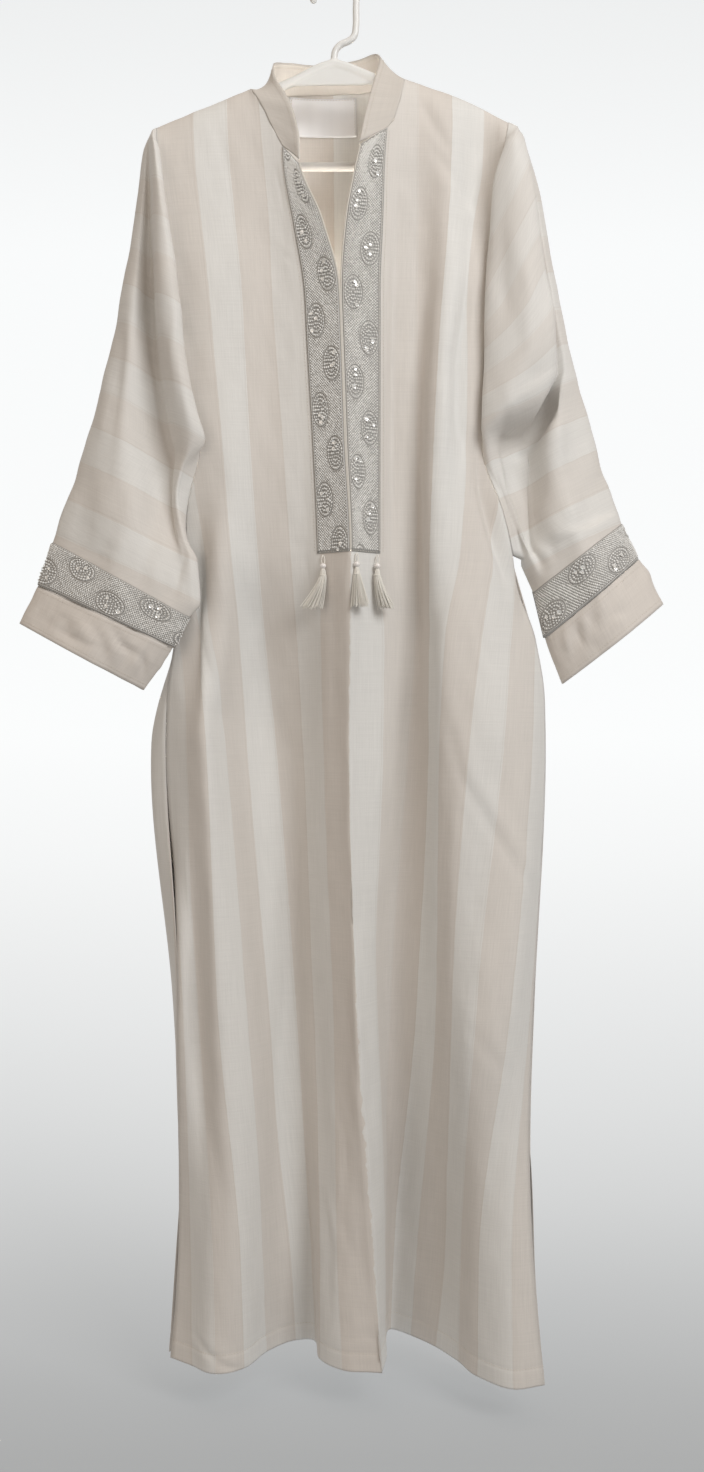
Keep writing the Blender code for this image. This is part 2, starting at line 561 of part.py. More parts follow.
def make_sleeve(side, name, front, back):
    """A sleeve sewn to the edges of the front and back, with the ribbon round its lower end."""
    rows = LEFT_SLEEVE if side < 0 else RIGHT_SLEEVE
    count = len(UPPER_ROWS)
    edge = 0 if side < 0 else -1
    lap = CLOTH + SEAM
    seams = [(before + outward * lap, behind + rearward * lap) for before, outward, behind, rearward
             in zip(*(net[1:count, edge] for net in (front[0], front[2], back[0], back[2])))]
    levels = [-before[2] for before in front[0][1:count, edge]] + list(LOWER_SLEEVE[side])
    net = sleeve_net(rows, levels, seams)
    faces = grid_faces(*net.shape[:2])
    normals = point_normals(net, faces)
    parting, end = SLEEVE_PARTING[side], len(levels) - 1
    band(f"sleeve_{name}_upper", net, normals, faces, 0, parting)
    band(f"sleeve_{name}_lower", net, normals, faces, parting, end)
    if normals[2:8, 3:8, 1].mean() > 0:
        normals = -normals
    places = np.arange(levels.index(CUFF_RIBBON_TOP[side]), end + 1, dtype=float)
    places[0] += 0.05
    places[-1] -= 0.02
    lay_on(f"trim_cuff_{name}", net, normals, places, np.arange(net.shape[1]),
           CLOTH / 2 + 3 * REST, RIBBON, RIBBON_COLOUR, 0.5)


def make_cuff(side, name):
    """A plain cuff below a sleeve's ribbon."""
    rows = CUFF[side]
    net = sleeve_net(rows, np.linspace(rows[0][0], rows[-1][0], 4), [])
    wall(f"cuff_{name}", net, grid_faces(*net.shape[:2]), CUFF_COLOUR)


def make_collar(front, back):
    """A stand band: its foot follows the upper edges of the front and back, just above them."""
    front_row, middle, back_row = front[0][0], front[3], back[0][0]
    first = len(RIBBON_COLUMNS) - 1
    neck_left, neck_right = FIXED_COLUMNS[-1].index(88), FIXED_COLUMNS[1].index(62)
    left = front_row[middle - first - np.arange(neck_left + 2)]
    right = front_row[middle + 1 + first + np.arange(neck_right + 2)][::-1]
    rear = back_row[len(REAR_SHARES) + 4:len(REAR_SHARES) + REAR_FIXED.index(62) + 1]
    foot = np.vstack([left[:-1], (left[-1:] + rear[:1]) / 2, rear[1:-1],
                      (right[:1] + rear[-1:]) / 2, right[1:]])
    length = np.concatenate([[0], np.cumsum(np.linalg.norm(np.diff(foot, axis=0), axis=1))])
    along = length / length[-1]
    knots = [row[0] for row in COLLAR_TOP]
    top = np.stack([smooth(knots, [row[axis] for row in COLLAR_TOP], along) for axis in (1, 2, 3)], -1)
    top[:, 2] *= -1
    rise = top - foot
    foot = foot + rise / np.linalg.norm(rise, axis=1, keepdims=True) * (CLOTH + 2.4 * SEAM)
    net = np.array([foot + (top - foot) * share for share in (0, 0.33, 0.67, 1)])
    wall("collar", net, grid_faces(*net.shape[:2]), CLOTH_COLOUR)


def ring_points(radius, height, count):
    """Points of a level ring round the middle."""
    angles = [2 * math.pi * i / count for i in range(count)]
    return [(radius * math.cos(a), radius * math.sin(a), height) for a in angles]


TASSELS = {
    # name: side of the slit, distance from it along the ribbon's end, lean and spread of the skirt
    "left": (-1, 33.0, -12.0, 3.0),
    "middle": (1, 6.0, 3.0, 2.4),
    "right": (1, 38.0, 9.0, 2.2),
}
KNOT, CORD, HEAD, BEAD = 2.1, 0.8, 3.3, 3.5
BEAD_DOWN, HEAD_DOWN, HEAD_LONG, SKIRT_LONG = 12.0, 15.0, 8.0, 33.0
STAND_OFF = 2.2          # how far the bead and head stand in front of the knot
WOBBLE = 0.9             # how unevenly the tips of the strands hang


def make_tassel(name, side, out, lean, spread):
    """A knot, a cord, a bound head, and a skirt whose strands grow out of the head's underside."""
    here, beside, below = front_points(side, [out, out + 1, out], [SLIT_END, SLIT_END, SLIT_END - 1])
    outward = np.cross(beside - here, below - here)
    outward *= -math.copysign(1, outward[1]) / np.linalg.norm(outward)
    across, back, _ = here + outward * (CLOTH / 2 + REST + KNOT + 0.3)
    down = SLIT_END + KNOT + REST
    sides = 8
    end = -HEAD_DOWN - HEAD_LONG
    profile = [(CORD, KNOT), (KNOT * 0.8, KNOT * 0.6), (KNOT, 0), (KNOT * 0.8, -KNOT * 0.6),
               (CORD, -KNOT), (CORD, -KNOT - BEAD_DOWN / 2), (CORD, -HEAD_DOWN),
               (HEAD * 0.75, -HEAD_DOWN - 0.8), (HEAD, -HEAD_DOWN - 2.5), (HEAD, end + 3),
               (HEAD * 0.85, end + 2), (HEAD * 1.1, end), (HEAD * 0.66, end), (HEAD * 0.2, end)]
    vertices = [point for radius, height in profile for point in ring_points(radius, height, sides)]
    faces = grid_faces(len(profile), sides, closed=True)
    faces += [tuple(range(sides)), tuple(range(len(vertices) - sides, len(vertices)))]
    vertices = np.array(vertices)
    vertices[:, 1] -= STAND_OFF * np.clip((-vertices[:, 2] - KNOT) / (BEAD_DOWN / 2), 0, 1)
    vertices += (across, back, -down)
    back -= STAND_OFF
    piece = finish(f"tassel_{name}", vertices, faces, THREAD_COLOUR, 0.8)
    bm = bmesh.new()
    bm.from_mesh(piece.data)
    floor = (end - down) * MM
    strands = [face for face in bm.faces
               if len(face.verts) == 4 and all(abs(v.co.z - floor) < 1e-6 for v in face.verts)]
    bmesh.ops.inset_individual(bm, faces=strands, thickness=0.12 * MM, use_even_offset=True)
    roots = [face.calc_center_median() for face in strands]
    before = [(0.0, 0.0, 0.0)] * len(strands)
    for part in (0.5, 1.0):
        strands = bmesh.ops.extrude_discrete_faces(bm, faces=strands)["faces"]
        for i, (face, root) in enumerate(zip(strands, roots)):
            turn = 2.4 * i
            widen = (spread - 1) * part ** 1.2
            out_x, out_y = root.x - across * MM, root.y - back * MM
            shift = (out_x * widen + (lean * part ** 1.3 + WOBBLE * part * math.cos(turn)) * MM,
                     out_y * widen * 0.6 + WOBBLE * part * math.sin(turn) * MM,
                     -(SKIRT_LONG - WOBBLE * 1.5 * math.cos(1.7 * turn)) * part * MM)
            for vertex in face.verts:
                vertex.co.x += shift[0] - before[i][0]
                vertex.co.y += shift[1] - before[i][1]
                vertex.co.z += shift[2] - before[i][2]
            before[i] = shift
    bm.to_mesh(piece.data)
    bm.free()

    rim = [(CORD + REST, -2.4), (BEAD * 0.8, -2.2), (BEAD, 0), (BEAD * 0.8, 2.2), (CORD + REST, 2.4)]
    vertices = [point for radius, height in rim for point in ring_points(radius, height, sides)]
    faces = grid_faces(len(rim), sides, closed=True)
    last = (len(rim) - 1) * sides
    faces += [(last + j, last + (j + 1) % sides, (j + 1) % sides, j) for j in range(sides)]
    vertices = np.array(vertices) + (across, back, -down - BEAD_DOWN)
    finish(f"bead_{name}", vertices, faces, SATIN_COLOUR, 0.25)


ROD, TUBE = 3.85, 5.0                     # radii of the hook's rod and the hanger's tube
HOOK_RADIUS = 24.75
HOOK_CENTRE = HOOK_RADIUS - ROD           # down, from the inner top of the hook


def tube(name, path, radius, sides=12):
    """A round rod along a path of (across, down) in the plane of the hanger."""
    path = np.array(path, float)
    lines = np.gradient(path, axis=0)
    lines /= np.linalg.norm(lines, axis=1, keepdims=True)
    vertices = []
    for (x, down), (dx, ddown) in zip(path, lines):
        for i in range(sides):
            angle = 2 * math.pi * i / sides
            off = radius * math.cos(angle)
            vertices.append((x + ddown * off, radius * math.sin(angle), -(down - dx * off)))
    faces = grid_faces(len(path), sides, closed=True)
    faces += [tuple(range(sides)), tuple(range(len(vertices) - sides, len(vertices)))]
    return finish(name, vertices, faces, PLASTIC_COLOUR, 0.35)


def arc(centre_x, centre_down, radius, start, end, count):
    """Points (across, down) of an arc; angles in degrees, 0 to the right, 90 up."""
    angles = np.radians(np.linspace(start, end, count))
    return [(centre_x + radius * math.cos(a), centre_down - radius * math.sin(a)) for a in angles]


END_CENTRE = {-1: -176.0, 1: 183.0}        # middle of the rounded ends
END_DOWN, END_WIDE, END_ABOVE, END_BELOW = 195.6, 11.0, 17.5, 20.0


def rounded_end(side, start, end, count):
    """Points (across, down) of a rounded end, from -90 at its underside to 90 at its top."""
    points = []
    for angle in np.radians(np.linspace(start, end, count)):
        high = END_ABOVE if angle > 0 else END_BELOW
        points.append((END_CENTRE[side] + side * END_WIDE * math.cos(angle),
                       END_DOWN - high * math.sin(angle)))
    return points


def make_hanger():
    """One moulding: hook, stem with its bend, two arms and a flat web; and the trouser bar."""
    hook = arc(0, HOOK_CENTRE, HOOK_RADIUS, 208, 0, 17)
    hook += [(24.75, 45), (24.6, 62), (22.5, 72), (16, 77.5), (8, 81), (2.5, 87), (0.8, 94), (0.5, 101)]
    arms = rounded_end(-1, -28, 68, 6)
    arms += [(-158, 167.2), (-123, 154), (-88.5, 140.3), (-44, 121.6), (-8, 104.3), (0.5, 102.2), (9, 104),
             (40, 115.9), (80, 131), (108, 141), (145, 155.5)]
    arms += rounded_end(1, 68, -28, 6)
    hanger = tube("hanger", arms, TUBE)
    rod = tube("hook_guide", hook, ROD)
    web = [(0.5, 102), (-57, 127), (57, 125)]
    vertices = [(x, y, -down) for y in (-2, 2) for x, down in web]
    plate = finish("web_guide", vertices, [(0, 1, 2), (5, 4, 3), (0, 3, 4, 1), (1, 4, 5, 2), (2, 5, 3, 0)],
                   PLASTIC_COLOUR, 0.35)
    for guide in (rod, plate):
        join = hanger.modifiers.new(guide.name, 'BOOLEAN')
        join.operation = 'UNION'
        join.solver = 'EXACT'
        join.object = guide
        guide.hide_render = True
        guide.display_type = 'WIRE'
    tube("hanger_bar", rounded_end(-1, -35, -90, 4) + rounded_end(1, -90, -35, 4), TUBE)


def build():
    """Makes every piece, in the order in which they are put together."""
    front = front_sheet()
    make_front(front)
    make_neck_ribbons(front)
    back = make_back()
    make_label(back)
    make_collar(front, back)
    for side, name in ((-1, "left"), (1, "right")):
        make_sleeve(side, name, front, back)
        make_cuff(side, name)
    for name, sizes in TASSELS.items():
        make_tassel(name, *sizes)
    make_hanger()


for old in list(bpy.data.objects):
    bpy.data.objects.remove(old, do_unlink=True)
build()
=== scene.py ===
import math

import bmesh
import bpy
import numpy as np
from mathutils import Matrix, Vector


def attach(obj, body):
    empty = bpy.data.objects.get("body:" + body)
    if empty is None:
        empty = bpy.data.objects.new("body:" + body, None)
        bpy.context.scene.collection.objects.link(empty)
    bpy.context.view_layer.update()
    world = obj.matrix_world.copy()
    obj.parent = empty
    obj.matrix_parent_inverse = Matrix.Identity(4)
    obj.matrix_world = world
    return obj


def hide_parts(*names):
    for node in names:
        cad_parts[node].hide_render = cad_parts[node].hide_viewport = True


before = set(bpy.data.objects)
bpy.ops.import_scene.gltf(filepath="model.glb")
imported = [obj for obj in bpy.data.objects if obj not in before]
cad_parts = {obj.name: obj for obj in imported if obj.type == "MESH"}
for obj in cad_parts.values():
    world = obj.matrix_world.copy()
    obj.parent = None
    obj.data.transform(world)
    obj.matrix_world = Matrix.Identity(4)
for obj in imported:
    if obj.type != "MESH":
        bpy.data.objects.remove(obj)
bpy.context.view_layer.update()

# The front panel: one width of light cotton and linen with woven stripes, cut in two halves that are
# slit apart down to the chest. It hangs from the shoulder seams in folds that widen towards the hem.
MM = 0.001
STRIPE = 39.0            # width of a stripe
HALF_SLIT = 0.35         # half the gap of the slit
SLIT_END = 645.0         # how far below the hook the slit ends
HEM = 1528.0             # mean height of the hem, below the hook
HEM_SWING = 0.10         # how far the hem lifts for each millimetre that a fold runs back
ROLL = 22.0              # how fast the cloth falls away from the shoulder seam
FABRIC = 0.8             # thickness of the cloth with its seam allowances

# Each row is a level below the hook, and each column after it the edge of a stripe from the middle out:
# where that edge hangs, across the shoulders in the first table of a side, and back in the second.
LEFT_ACROSS = [
    (131, -37, -55, -84, -119, -157, -195, -225, -250, -280, -310),
    (219, -37, -52, -76, -114, -152, -190, -222, -250, -280, -310),
    (290, -12, -40, -70, -107, -144, -181, -212, -245, -275, -305),
    (362, 6.3, -28, -67, -100, -136, -174, -205, -235, -265, -295),
    (420, 8.9, -25, -63, -97, -131, -168, -198, -228, -258, -288),
    (527, 12.6, -19, -55, -91, -121, -156, -185, -215, -245, -275),
    (645, 18.6, -14, -47, -83, -112, -141, -166, -188, -210, -230),
    (735, 18, -13, -41, -77, -105, -133, -149, -169, -193, -215),
    (851, 17, -9, -35, -66, -98, -118, -137, -159, -189, -205),
    (1132, 25, 0, -21, -45, -76, -97, -125, -149, -164, -190),
    (1407, 43, 4, -16, -25, -51, -78, -101, -130, -158, -178),
    (1528, 53, 10, -15, -21, -45, -75, -97, -128, -155, -185),
]
LEFT_BACK = [
    (131, -24, -26, -22, -20, -18, -14, -12, -10, -8, -6),
    (219, -44, -36, -29, -27, -26, -20, -16, -14, -12, -10),
    (290, -54, -38, -30, -31, -31, -24, -18, -16, -14, -12),
    (362, -58, -40, -32, -35, -36, -26, -20, -16, -12, -8),
    (420, -60, -41, -33, -35, -37, -27, -19, -13, -8, -2),
    (527, -62, -42, -34, -36, -40, -28, -16, -8, 0, 8),
    (645, -62, -38, -26, -26, -34, -28, -12, 0, 8, 16),
    (735, -54, -26, -4, 8, -8, -30, -30, -10, 4, 16),
    (851, -44, -14, 14, 32, 12, -18, -44, -22, 6, 26),
    (1132, -46, -18, 12, 32, 12, -20, -38, -12, -22, 6),
    (1407, -34, -22, -4, 34, 26, -4, -32, -30, -6, 14),
    (1528, -30, -22, 3, 46, 48, 20, -20, -30, -12, 10),
]
RIGHT_ACROSS = [
    (131, 48, 62, 92, 129, 166, 197, 230, 262, 294, 326),
    (219, 27, 53, 91, 127, 163, 190, 222, 254, 286, 318),
    (290, 14, 50, 91, 123, 152, 182, 212, 244, 276, 308),
    (362, 9.0, 47, 90, 119, 147, 175, 206, 238, 270, 302),
    (420, 10.7, 47, 90, 115, 146, 175, 205, 237, 268, 299),
    (527, 14.4, 47, 90, 109, 144, 176, 204, 234, 264, 294),
    (645, 19.4, 47, 90, 106, 136, 170, 198, 220, 240, 262),
    (735, 18, 53, 89, 103, 120, 157, 191, 218, 238, 256),
    (851, 17, 52, 82, 104, 115, 143, 181, 213, 235, 250),
    (1132, 25, 43, 63, 91, 112, 126, 151, 188, 213, 232),
    (1407, 43, 55, 57, 69, 95, 123, 139, 156, 190, 227),
    (1528, 53, 59, 59, 64, 88, 112, 137, 155, 191, 232),
]
RIGHT_BACK = [
    (131, -26, -27, -24, -24, -14, -22, -18, -14, -10, -6),
    (219, -42, -38, -30, -32, -12, -34, -26, -20, -16, -12),
    (290, -52, -42, -28, -36, -26, -24, -20, -16, -12, -8),
    (362, -56, -46, -28, -40, -40, -22, -18, -14, -10, -6),
    (420, -59, -45, -27, -43, -40, -21, -15, -9, -4, 0),
    (527, -62, -42, -26, -48, -40, -20, -8, 0, 6, 12),
    (645, -62, -40, -18, -46, -54, -40, -18, 0, 8, 14),
    (735, -54, -30, -8, -34, -58, -56, -38, -14, 4, 14),
    (851, -44, -22, 4, -14, -48, -62, -58, -36, -6, 16),
    (1132, -46, -12, 20, 6, -22, -46, -64, -62, -34, -2),
    (1407, -34, 3, 38, 64, 48, 24, -8, -40, -60, -48),
    (1528, -30, 9, 46, 74, 60, 32, -2, -36, -64, -52),
]
# Half the width of the cut cloth at each level.
CUT_DOWN = (131, 219, 290, 362, 439, 527, 600, 645, 735, 800, 851, 1132, 1407, 1540)
CUT = {-1: (197, 196, 195, 194, 189, 182, 214, 228, 280, 300, 306, 321, 338, 345),
       1: (197, 186, 181, 180, 178, 177, 203, 226, 275, 300, 306, 321, 338, 345)}
# Edges at the top: distance from the middle of the cloth, and how far down.
SHOULDER = {-1: ((88, 131), (158, 158), (198, 174)), 1: ((62, 120), (124, 140), (198, 171))}
FRONT_NECK = {-1: ((0, 226), (42, 205), (58, 186), (76, 152), (88, 131)),
              1: ((0, 204), (42, 185), (50, 176), (57, 150), (62, 120))}
NECK_POINT = {-1: 88.0, 1: 62.0}
NECK_RISE = 1.5          # how steeply the guide of the shoulder rises inward of the neck
# Shares of beige in the stripes, from the left edge of the cloth to its right edge; 0 is white.
STRIPES = (0.8, 0.3, 0.9, 0.1, 0.8, 0.0, 0.9, 0.3, 1.1, 0.0, 0.7, 1.0, 0.0, 0.9, 0.1, 0.8, 0.1, 0.8)
# Creases pressed or hung into the front: points across and down, then half the width and the depth.
FRONT_CREASES = [
    (((119, 812), (137, 887), (177, 951), (209, 1000), (222, 1022)), 5.0, -1.9),
    (((126, 800), (146, 880), (186, 944), (216, 990)), 9.0, 1.3),
    (((137, 1142), (167, 1181), (198, 1212)), 5.0, -1.2),
    (((93, 150), (112, 186), (129, 214)), 6.0, -1.8),
    (((131, 145), (145, 182), (153, 212)), 6.0, -1.6),
    (((98, 192), (128, 236), (160, 276)), 6.0, -1.4),
    (((-53, 634), (-15, 636)), 3.5, -0.7),
    (((134, 998), (172, 997)), 3.0, -0.6),
    (((-152, 1201), (-108, 1202)), 3.0, -0.7),
    (((172, 1286), (211, 1285)), 3.0, -0.7),
    (((-150, 1492), (-134, 1509), (-118, 1523), (-96, 1531)), 3.2, -1.9),
    (((22, 1330), (30, 1400), (44, 1462)), 4.0, -0.9),
    (((46, 1300), (34, 1372), (20, 1440)), 4.0, -0.7),
    (((6, 1452), (30, 1466), (56, 1462)), 3.0, -0.9),
    (((14, 1500), (34, 1486), (52, 1502)), 3.0, -0.8),
    (((-62, 228), (-56, 252), (-50, 280)), 4.0, -0.8),
    (((-58, 320), (-40, 330)), 3.0, -0.6),
    (((124, 250), (120, 420), (112, 560), (104, 700)), 15.0, 9.0),
    (((66, 240), (66, 420), (62, 560), (50, 700)), 12.0, -9.0),
    (((152, 290), (143, 380), (133, 440), (133, 500), (140, 540)), 8.0, -7.0),
    (((172, 340), (160, 430), (158, 490)), 8.0, 4.5),
    (((-146, 600), (-149, 736), (-152, 820)), 12.0, -9.0),
    (((-122, 600), (-121, 700), (-126, 800)), 12.0, 7.0),
    (((-46, 860), (-48, 1000), (-52, 1160), (-56, 1290), (-60, 1430)), 16.0, -8.0),
    (((-18, 1120), (-14, 1250), (-10, 1380), (-6, 1480)), 12.0, -4.0),
    (((34, 1060), (42, 1200), (48, 1330), (52, 1470)), 14.0, 6.0),
    (((-176, 900), (-178, 1030), (-176, 1140)), 10.0, -5.0),
    (((-158, 940), (-157, 1030), (-157, 1110)), 8.0, 3.0),
    (((-84, 880), (-80, 1010), (-78, 1150)), 8.0, -1.6),
    (((20, 700), (16, 860), (18, 1010)), 3.5, 0.9),
    (((4, 640), (2, 760), (3, 900)), 5.0, -1.2),
    (((12, 1110), (24, 1190), (38, 1262)), 3.5, -1.3),
    (((30, 1120), (22, 1200), (28, 1280)), 3.5, 1.0),
    (((2, 1230), (16, 1290), (12, 1370), (26, 1420)), 3.5, -1.4),
    (((-10, 1330), (4, 1400), (0, 1480)), 4.0, 1.1),
    (((150, 1060), (168, 1120), (172, 1180)), 6.0, 1.2),
    (((118, 1290), (132, 1352), (128, 1430)), 5.0, 1.2),
    (((-134, 1250), (-120, 1330), (-122, 1420)), 5.0, -1.2),
    (((-92, 1420), (-78, 1470), (-84, 1510)), 4.0, -1.2),
    (((150, 700), (158, 742), (176, 776)), 4.0, -1.1),
    (((154, 520), (161, 580), (176, 640), (188, 680)), 7.0, -7.0),
    (((180, 520), (192, 582), (203, 640), (209, 720)), 8.0, -8.0),
    (((172, 530), (178, 590), (190, 650)), 6.0, 3.0),
    (((92, 560), (96, 640), (98, 740)), 8.0, -2.4),
    (((-128, 180), (-112, 232), (-104, 292)), 5.0, -1.0),
]
HEM_STITCH = 20.0        # how far above the edge the hem is stitched
RIBBON_EDGE = 45.0       # creases fade out before the ribbons beside the slit


def smooth(knots, values, at, steady=False):
    """A curve through values at rising knots, read at many points; a steady one never overshoots."""
    knots, values, at = np.asarray(knots, float), np.asarray(values, float), np.asarray(at, float)
    if values.ndim == 1:
        values = np.repeat(values[:, None], len(at), axis=1)
    if steady:
        rates = np.diff(values, axis=0) / np.diff(knots)[:, None]
        before, after = rates[:-1], rates[1:]
        same = before * after > 0
        mean = np.where(same, 2 * before * after / np.where(same, before + after, 1.0), 0.0)
        slopes = np.vstack([rates[:1], mean, rates[-1:]])
    else:
        slopes = np.gradient(values, knots, axis=0)
    low = np.clip(np.searchsorted(knots, at) - 1, 0, len(knots) - 2)
    span = knots[low + 1] - knots[low]
    part = np.clip((at - knots[low]) / span, 0.0, 1.0)
    one = np.arange(len(at))
    start, end = values[low, one], values[low + 1, one]
    lean, land = slopes[low, one] * span, slopes[low + 1, one] * span
    square, cube = part ** 2, part ** 3
    return ((2 * cube - 3 * square + 1) * start + (cube - 2 * square + part) * lean
            + (3 * square - 2 * cube) * end + (cube - square) * land)


def read_table(table, columns, across, down):
    """Reads a table of levels and columns as one smooth surface."""
    at_levels = np.array([smooth(columns, row[1:], across) for row in table])
    return smooth([row[0] for row in table], at_levels, down, steady=True)


def cut_edge(side, down):
    """Half the width of the cut cloth on one side."""
    return smooth(CUT_DOWN, CUT[side], down, steady=True)


def shoulder_line(side, out):
    """How far down the shoulder seam is, also inward of the neck, where it is only a guide."""
    near, middle, far = SHOULDER[side]
    line = np.interp(out, [near[0], middle[0], far[0]], [near[1], middle[1], far[1]])
    return np.where(out < near[0], near[1] - (near[0] - out) * NECK_RISE, line)


def fall(below):
    """How much of its depth the cloth has reached at a distance below the shoulder seam."""
    return np.sqrt(1.0 - np.exp(-np.maximum(below, 0.0) / ROLL))


def paired(one, two):
    """Two sets of numbers, spread out to one shape."""
    return np.broadcast_arrays(np.asarray(one, float), np.asarray(two, float))


def ramp(at, start, end):
    """Goes evenly from 0 at the start to 1 at the end, and stays level outside them."""
    return np.clip((at - start) / (end - start), 0, 1)


def front_points(side, out, down):
    """Points of the front panel, by the distance from its middle along the cloth and down."""
    out, down = paired(out, down)
    shape, out, down = out.shape, out.ravel(), down.ravel()
    across, back = (LEFT_ACROSS, LEFT_BACK) if side < 0 else (RIGHT_ACROSS, RIGHT_BACK)
    columns = np.arange(10) * STRIPE
    x = read_table(across, columns, out, down)
    y = read_table(back, columns, out, down) * fall(down - shoulder_line(side, out))
    return np.stack([x, y, -down], axis=-1).reshape(shape + (3,))


def front_top(side, out):
    """How far down the front's upper edge is: neck line, then shoulder seam."""
    line = np.interp(out, *zip(*FRONT_NECK[side]))
    return np.where(out > NECK_POINT[side], shoulder_line(side, out), line)


# Shares of a column: from the top edge to the slit's end, and from there to the hem, closer near it.
UPPER_ROWS = np.linspace(0, 1, 96) ** 1.2
LOWER_ROWS = np.concatenate([np.linspace(0, 0.955, 104)[1:], np.linspace(0.955, 1, 19)[1:]])
FLARE = np.linspace(0, 1, 25)[1:]
FLARE_FROM = 170.0                             # columns further out spread with the flare of the side


def panel_column(points, side, out, share, top, lift=0.0):
    """One column of a panel: its points, and where they lie on the flat cloth."""
    def place(down):
        return out + share * (cut_edge(side, down) - out) if share else np.full(len(down), float(out))
    begin = float(top(place([SHOULDER[side][2][1]])[0]))
    bottom = HEM - HEM_SWING * float(points(side, place([HEM]), [HEM])[0, 1]) + lift
    down = np.concatenate([begin + (SLIT_END - begin) * UPPER_ROWS,
                           SLIT_END + (bottom - SLIT_END) * LOWER_ROWS])
    return points(side, place(down), down), np.stack([side * place(down), down], -1), bottom - down


def directions(net):
    """Direction outward at each point of a net."""
    normals = np.cross(np.gradient(net, axis=1), np.gradient(net, axis=0))
    return normals / np.maximum(np.linalg.norm(normals, axis=-1, keepdims=True), 1e-9)


def face_forward(net, rows=slice(None), columns=slice(None)):
    """Directions out of the side of a net that shows in front, as the given part of it tells."""
    normals = directions(net)
    return normals * -np.sign(normals[rows, columns, 1].mean())


def ripple(a, b, seed, waves, size):
    """Soft unevenness over two directions: a few long waves with fixed phases."""
    rng = np.random.default_rng(seed)
    total = np.zeros(np.broadcast(a, b).shape)
    for wave_a, wave_b in waves:
        turn, phase = rng.uniform(-0.5, 0.5), rng.uniform(0, 2 * math.pi)
        total += np.sin(2 * math.pi * (a / wave_a + b / wave_b) + turn * np.sin(b / wave_b * 3.1) + phase)
    return total * size / len(waves)


FLANK, FLANK_WIDE, FLANK_AT = 0.4, 2.2, 0.9    # beside a crease the cloth moves the other way: how far, where


def crease(net, creases):
    """How far each point of a net moves out for the creases near it."""
    moved = np.zeros(net.shape[:2])
    for path, wide, deep in creases:
        path = np.array(path, float)
        nearest = np.full(net.shape[:2], np.inf)
        taper = np.zeros(net.shape[:2])
        for i, (start, end) in enumerate(zip(path[:-1], path[1:])):
            line = end - start
            dx, dd = net[..., 0] - start[0], -net[..., 2] - start[1]
            part = np.clip((dx * line[0] + dd * line[1]) / (line @ line), 0, 1)
            away = np.hypot(dx - part * line[0], dd - part * line[1])
            along = (i + part) / (len(path) - 1)
            closer = away < nearest
            nearest = np.where(closer, away, nearest)
            taper = np.where(closer, np.sin(math.pi * np.clip(along, 0.02, 0.98)) ** 0.6, taper)
        middle = np.exp(-(nearest / wide) ** 2)
        moved += deep * taper * (middle - FLANK * np.exp(-(nearest / wide / FLANK_WIDE - FLANK_AT) ** 2))
    return moved


def grid_faces(rows, columns, skip=None):
    """Faces of a net of rows and columns; skip(row, column) leaves a cell open."""
    return [(i * columns + j, i * columns + j + 1, (i + 1) * columns + j + 1, (i + 1) * columns + j)
            for i in range(rows - 1) for j in range(columns - 1) if not (skip and skip(i, j))]


def show(name, data):
    """Puts something new into the scene."""
    shown = bpy.data.objects.new(name, data)
    bpy.context.scene.collection.objects.link(shown)
    return shown


def cloth_piece(name, net, flat, thickness, material, skip=None):
    """A piece of cloth from a net of points, with the flat cloth as its UV map, in metres."""
    mesh = bpy.data.meshes.new(name)
    mesh.from_pydata((net.reshape(-1, 3) * MM).tolist(), [], grid_faces(*net.shape[:2], skip))
    corners = np.zeros(len(mesh.loops), np.int32)
    mesh.loops.foreach_get("vertex_index", corners)
    layer = mesh.uv_layers.new(name="cloth")
    layer.data.foreach_set("uv", (flat.reshape(-1, 2)[corners] * MM).astype(np.float32).ravel())
    shape = bmesh.new()
    shape.from_mesh(mesh)
    bmesh.ops.remove_doubles(shape, verts=shape.verts, dist=0.02 * MM)
    bmesh.ops.delete(shape, geom=[v for v in shape.verts if not v.link_faces], context='VERTS')
    shape.to_mesh(mesh)
    shape.free()
    mesh.shade_smooth()
    mesh.materials.append(material)
    piece = show(name, mesh)
    wall = piece.modifiers.new("wall", 'SOLIDIFY')
    wall.thickness, wall.offset = thickness * MM, 0.0
    return piece


def add_node(tree, kind, settings=(), values=()):
    """Adds a node with its settings; each input that is named is linked to a socket or set to a value."""
    made = tree.nodes.new(kind)
    for key, value in dict(settings).items():
        setattr(made, key, value)
    for key, value in dict(values).items():
        if isinstance(value, bpy.types.NodeSocket):
            tree.links.new(value, made.inputs[key])
        else:
            made.inputs[key].default_value = value
    return made


class Wire:
    """A socket of a finish. Sums and products of wires and numbers add their Math nodes."""

    def __init__(self, finish, socket):
        self.finish, self.socket = finish, socket

    def math(self, operation, other=0.5):
        return self.finish.node('ShaderNodeMath', {'operation': operation}, {0: self, 1: other})

    def __add__(self, other):
        return self.math('ADD', other)

    def __sub__(self, other):
        return self.math('SUBTRACT', other)

    def __mul__(self, other):
        return self.math('MULTIPLY', other)

    def __truediv__(self, other):
        return self.math('DIVIDE', other)

    __radd__, __rmul__ = __add__, __mul__


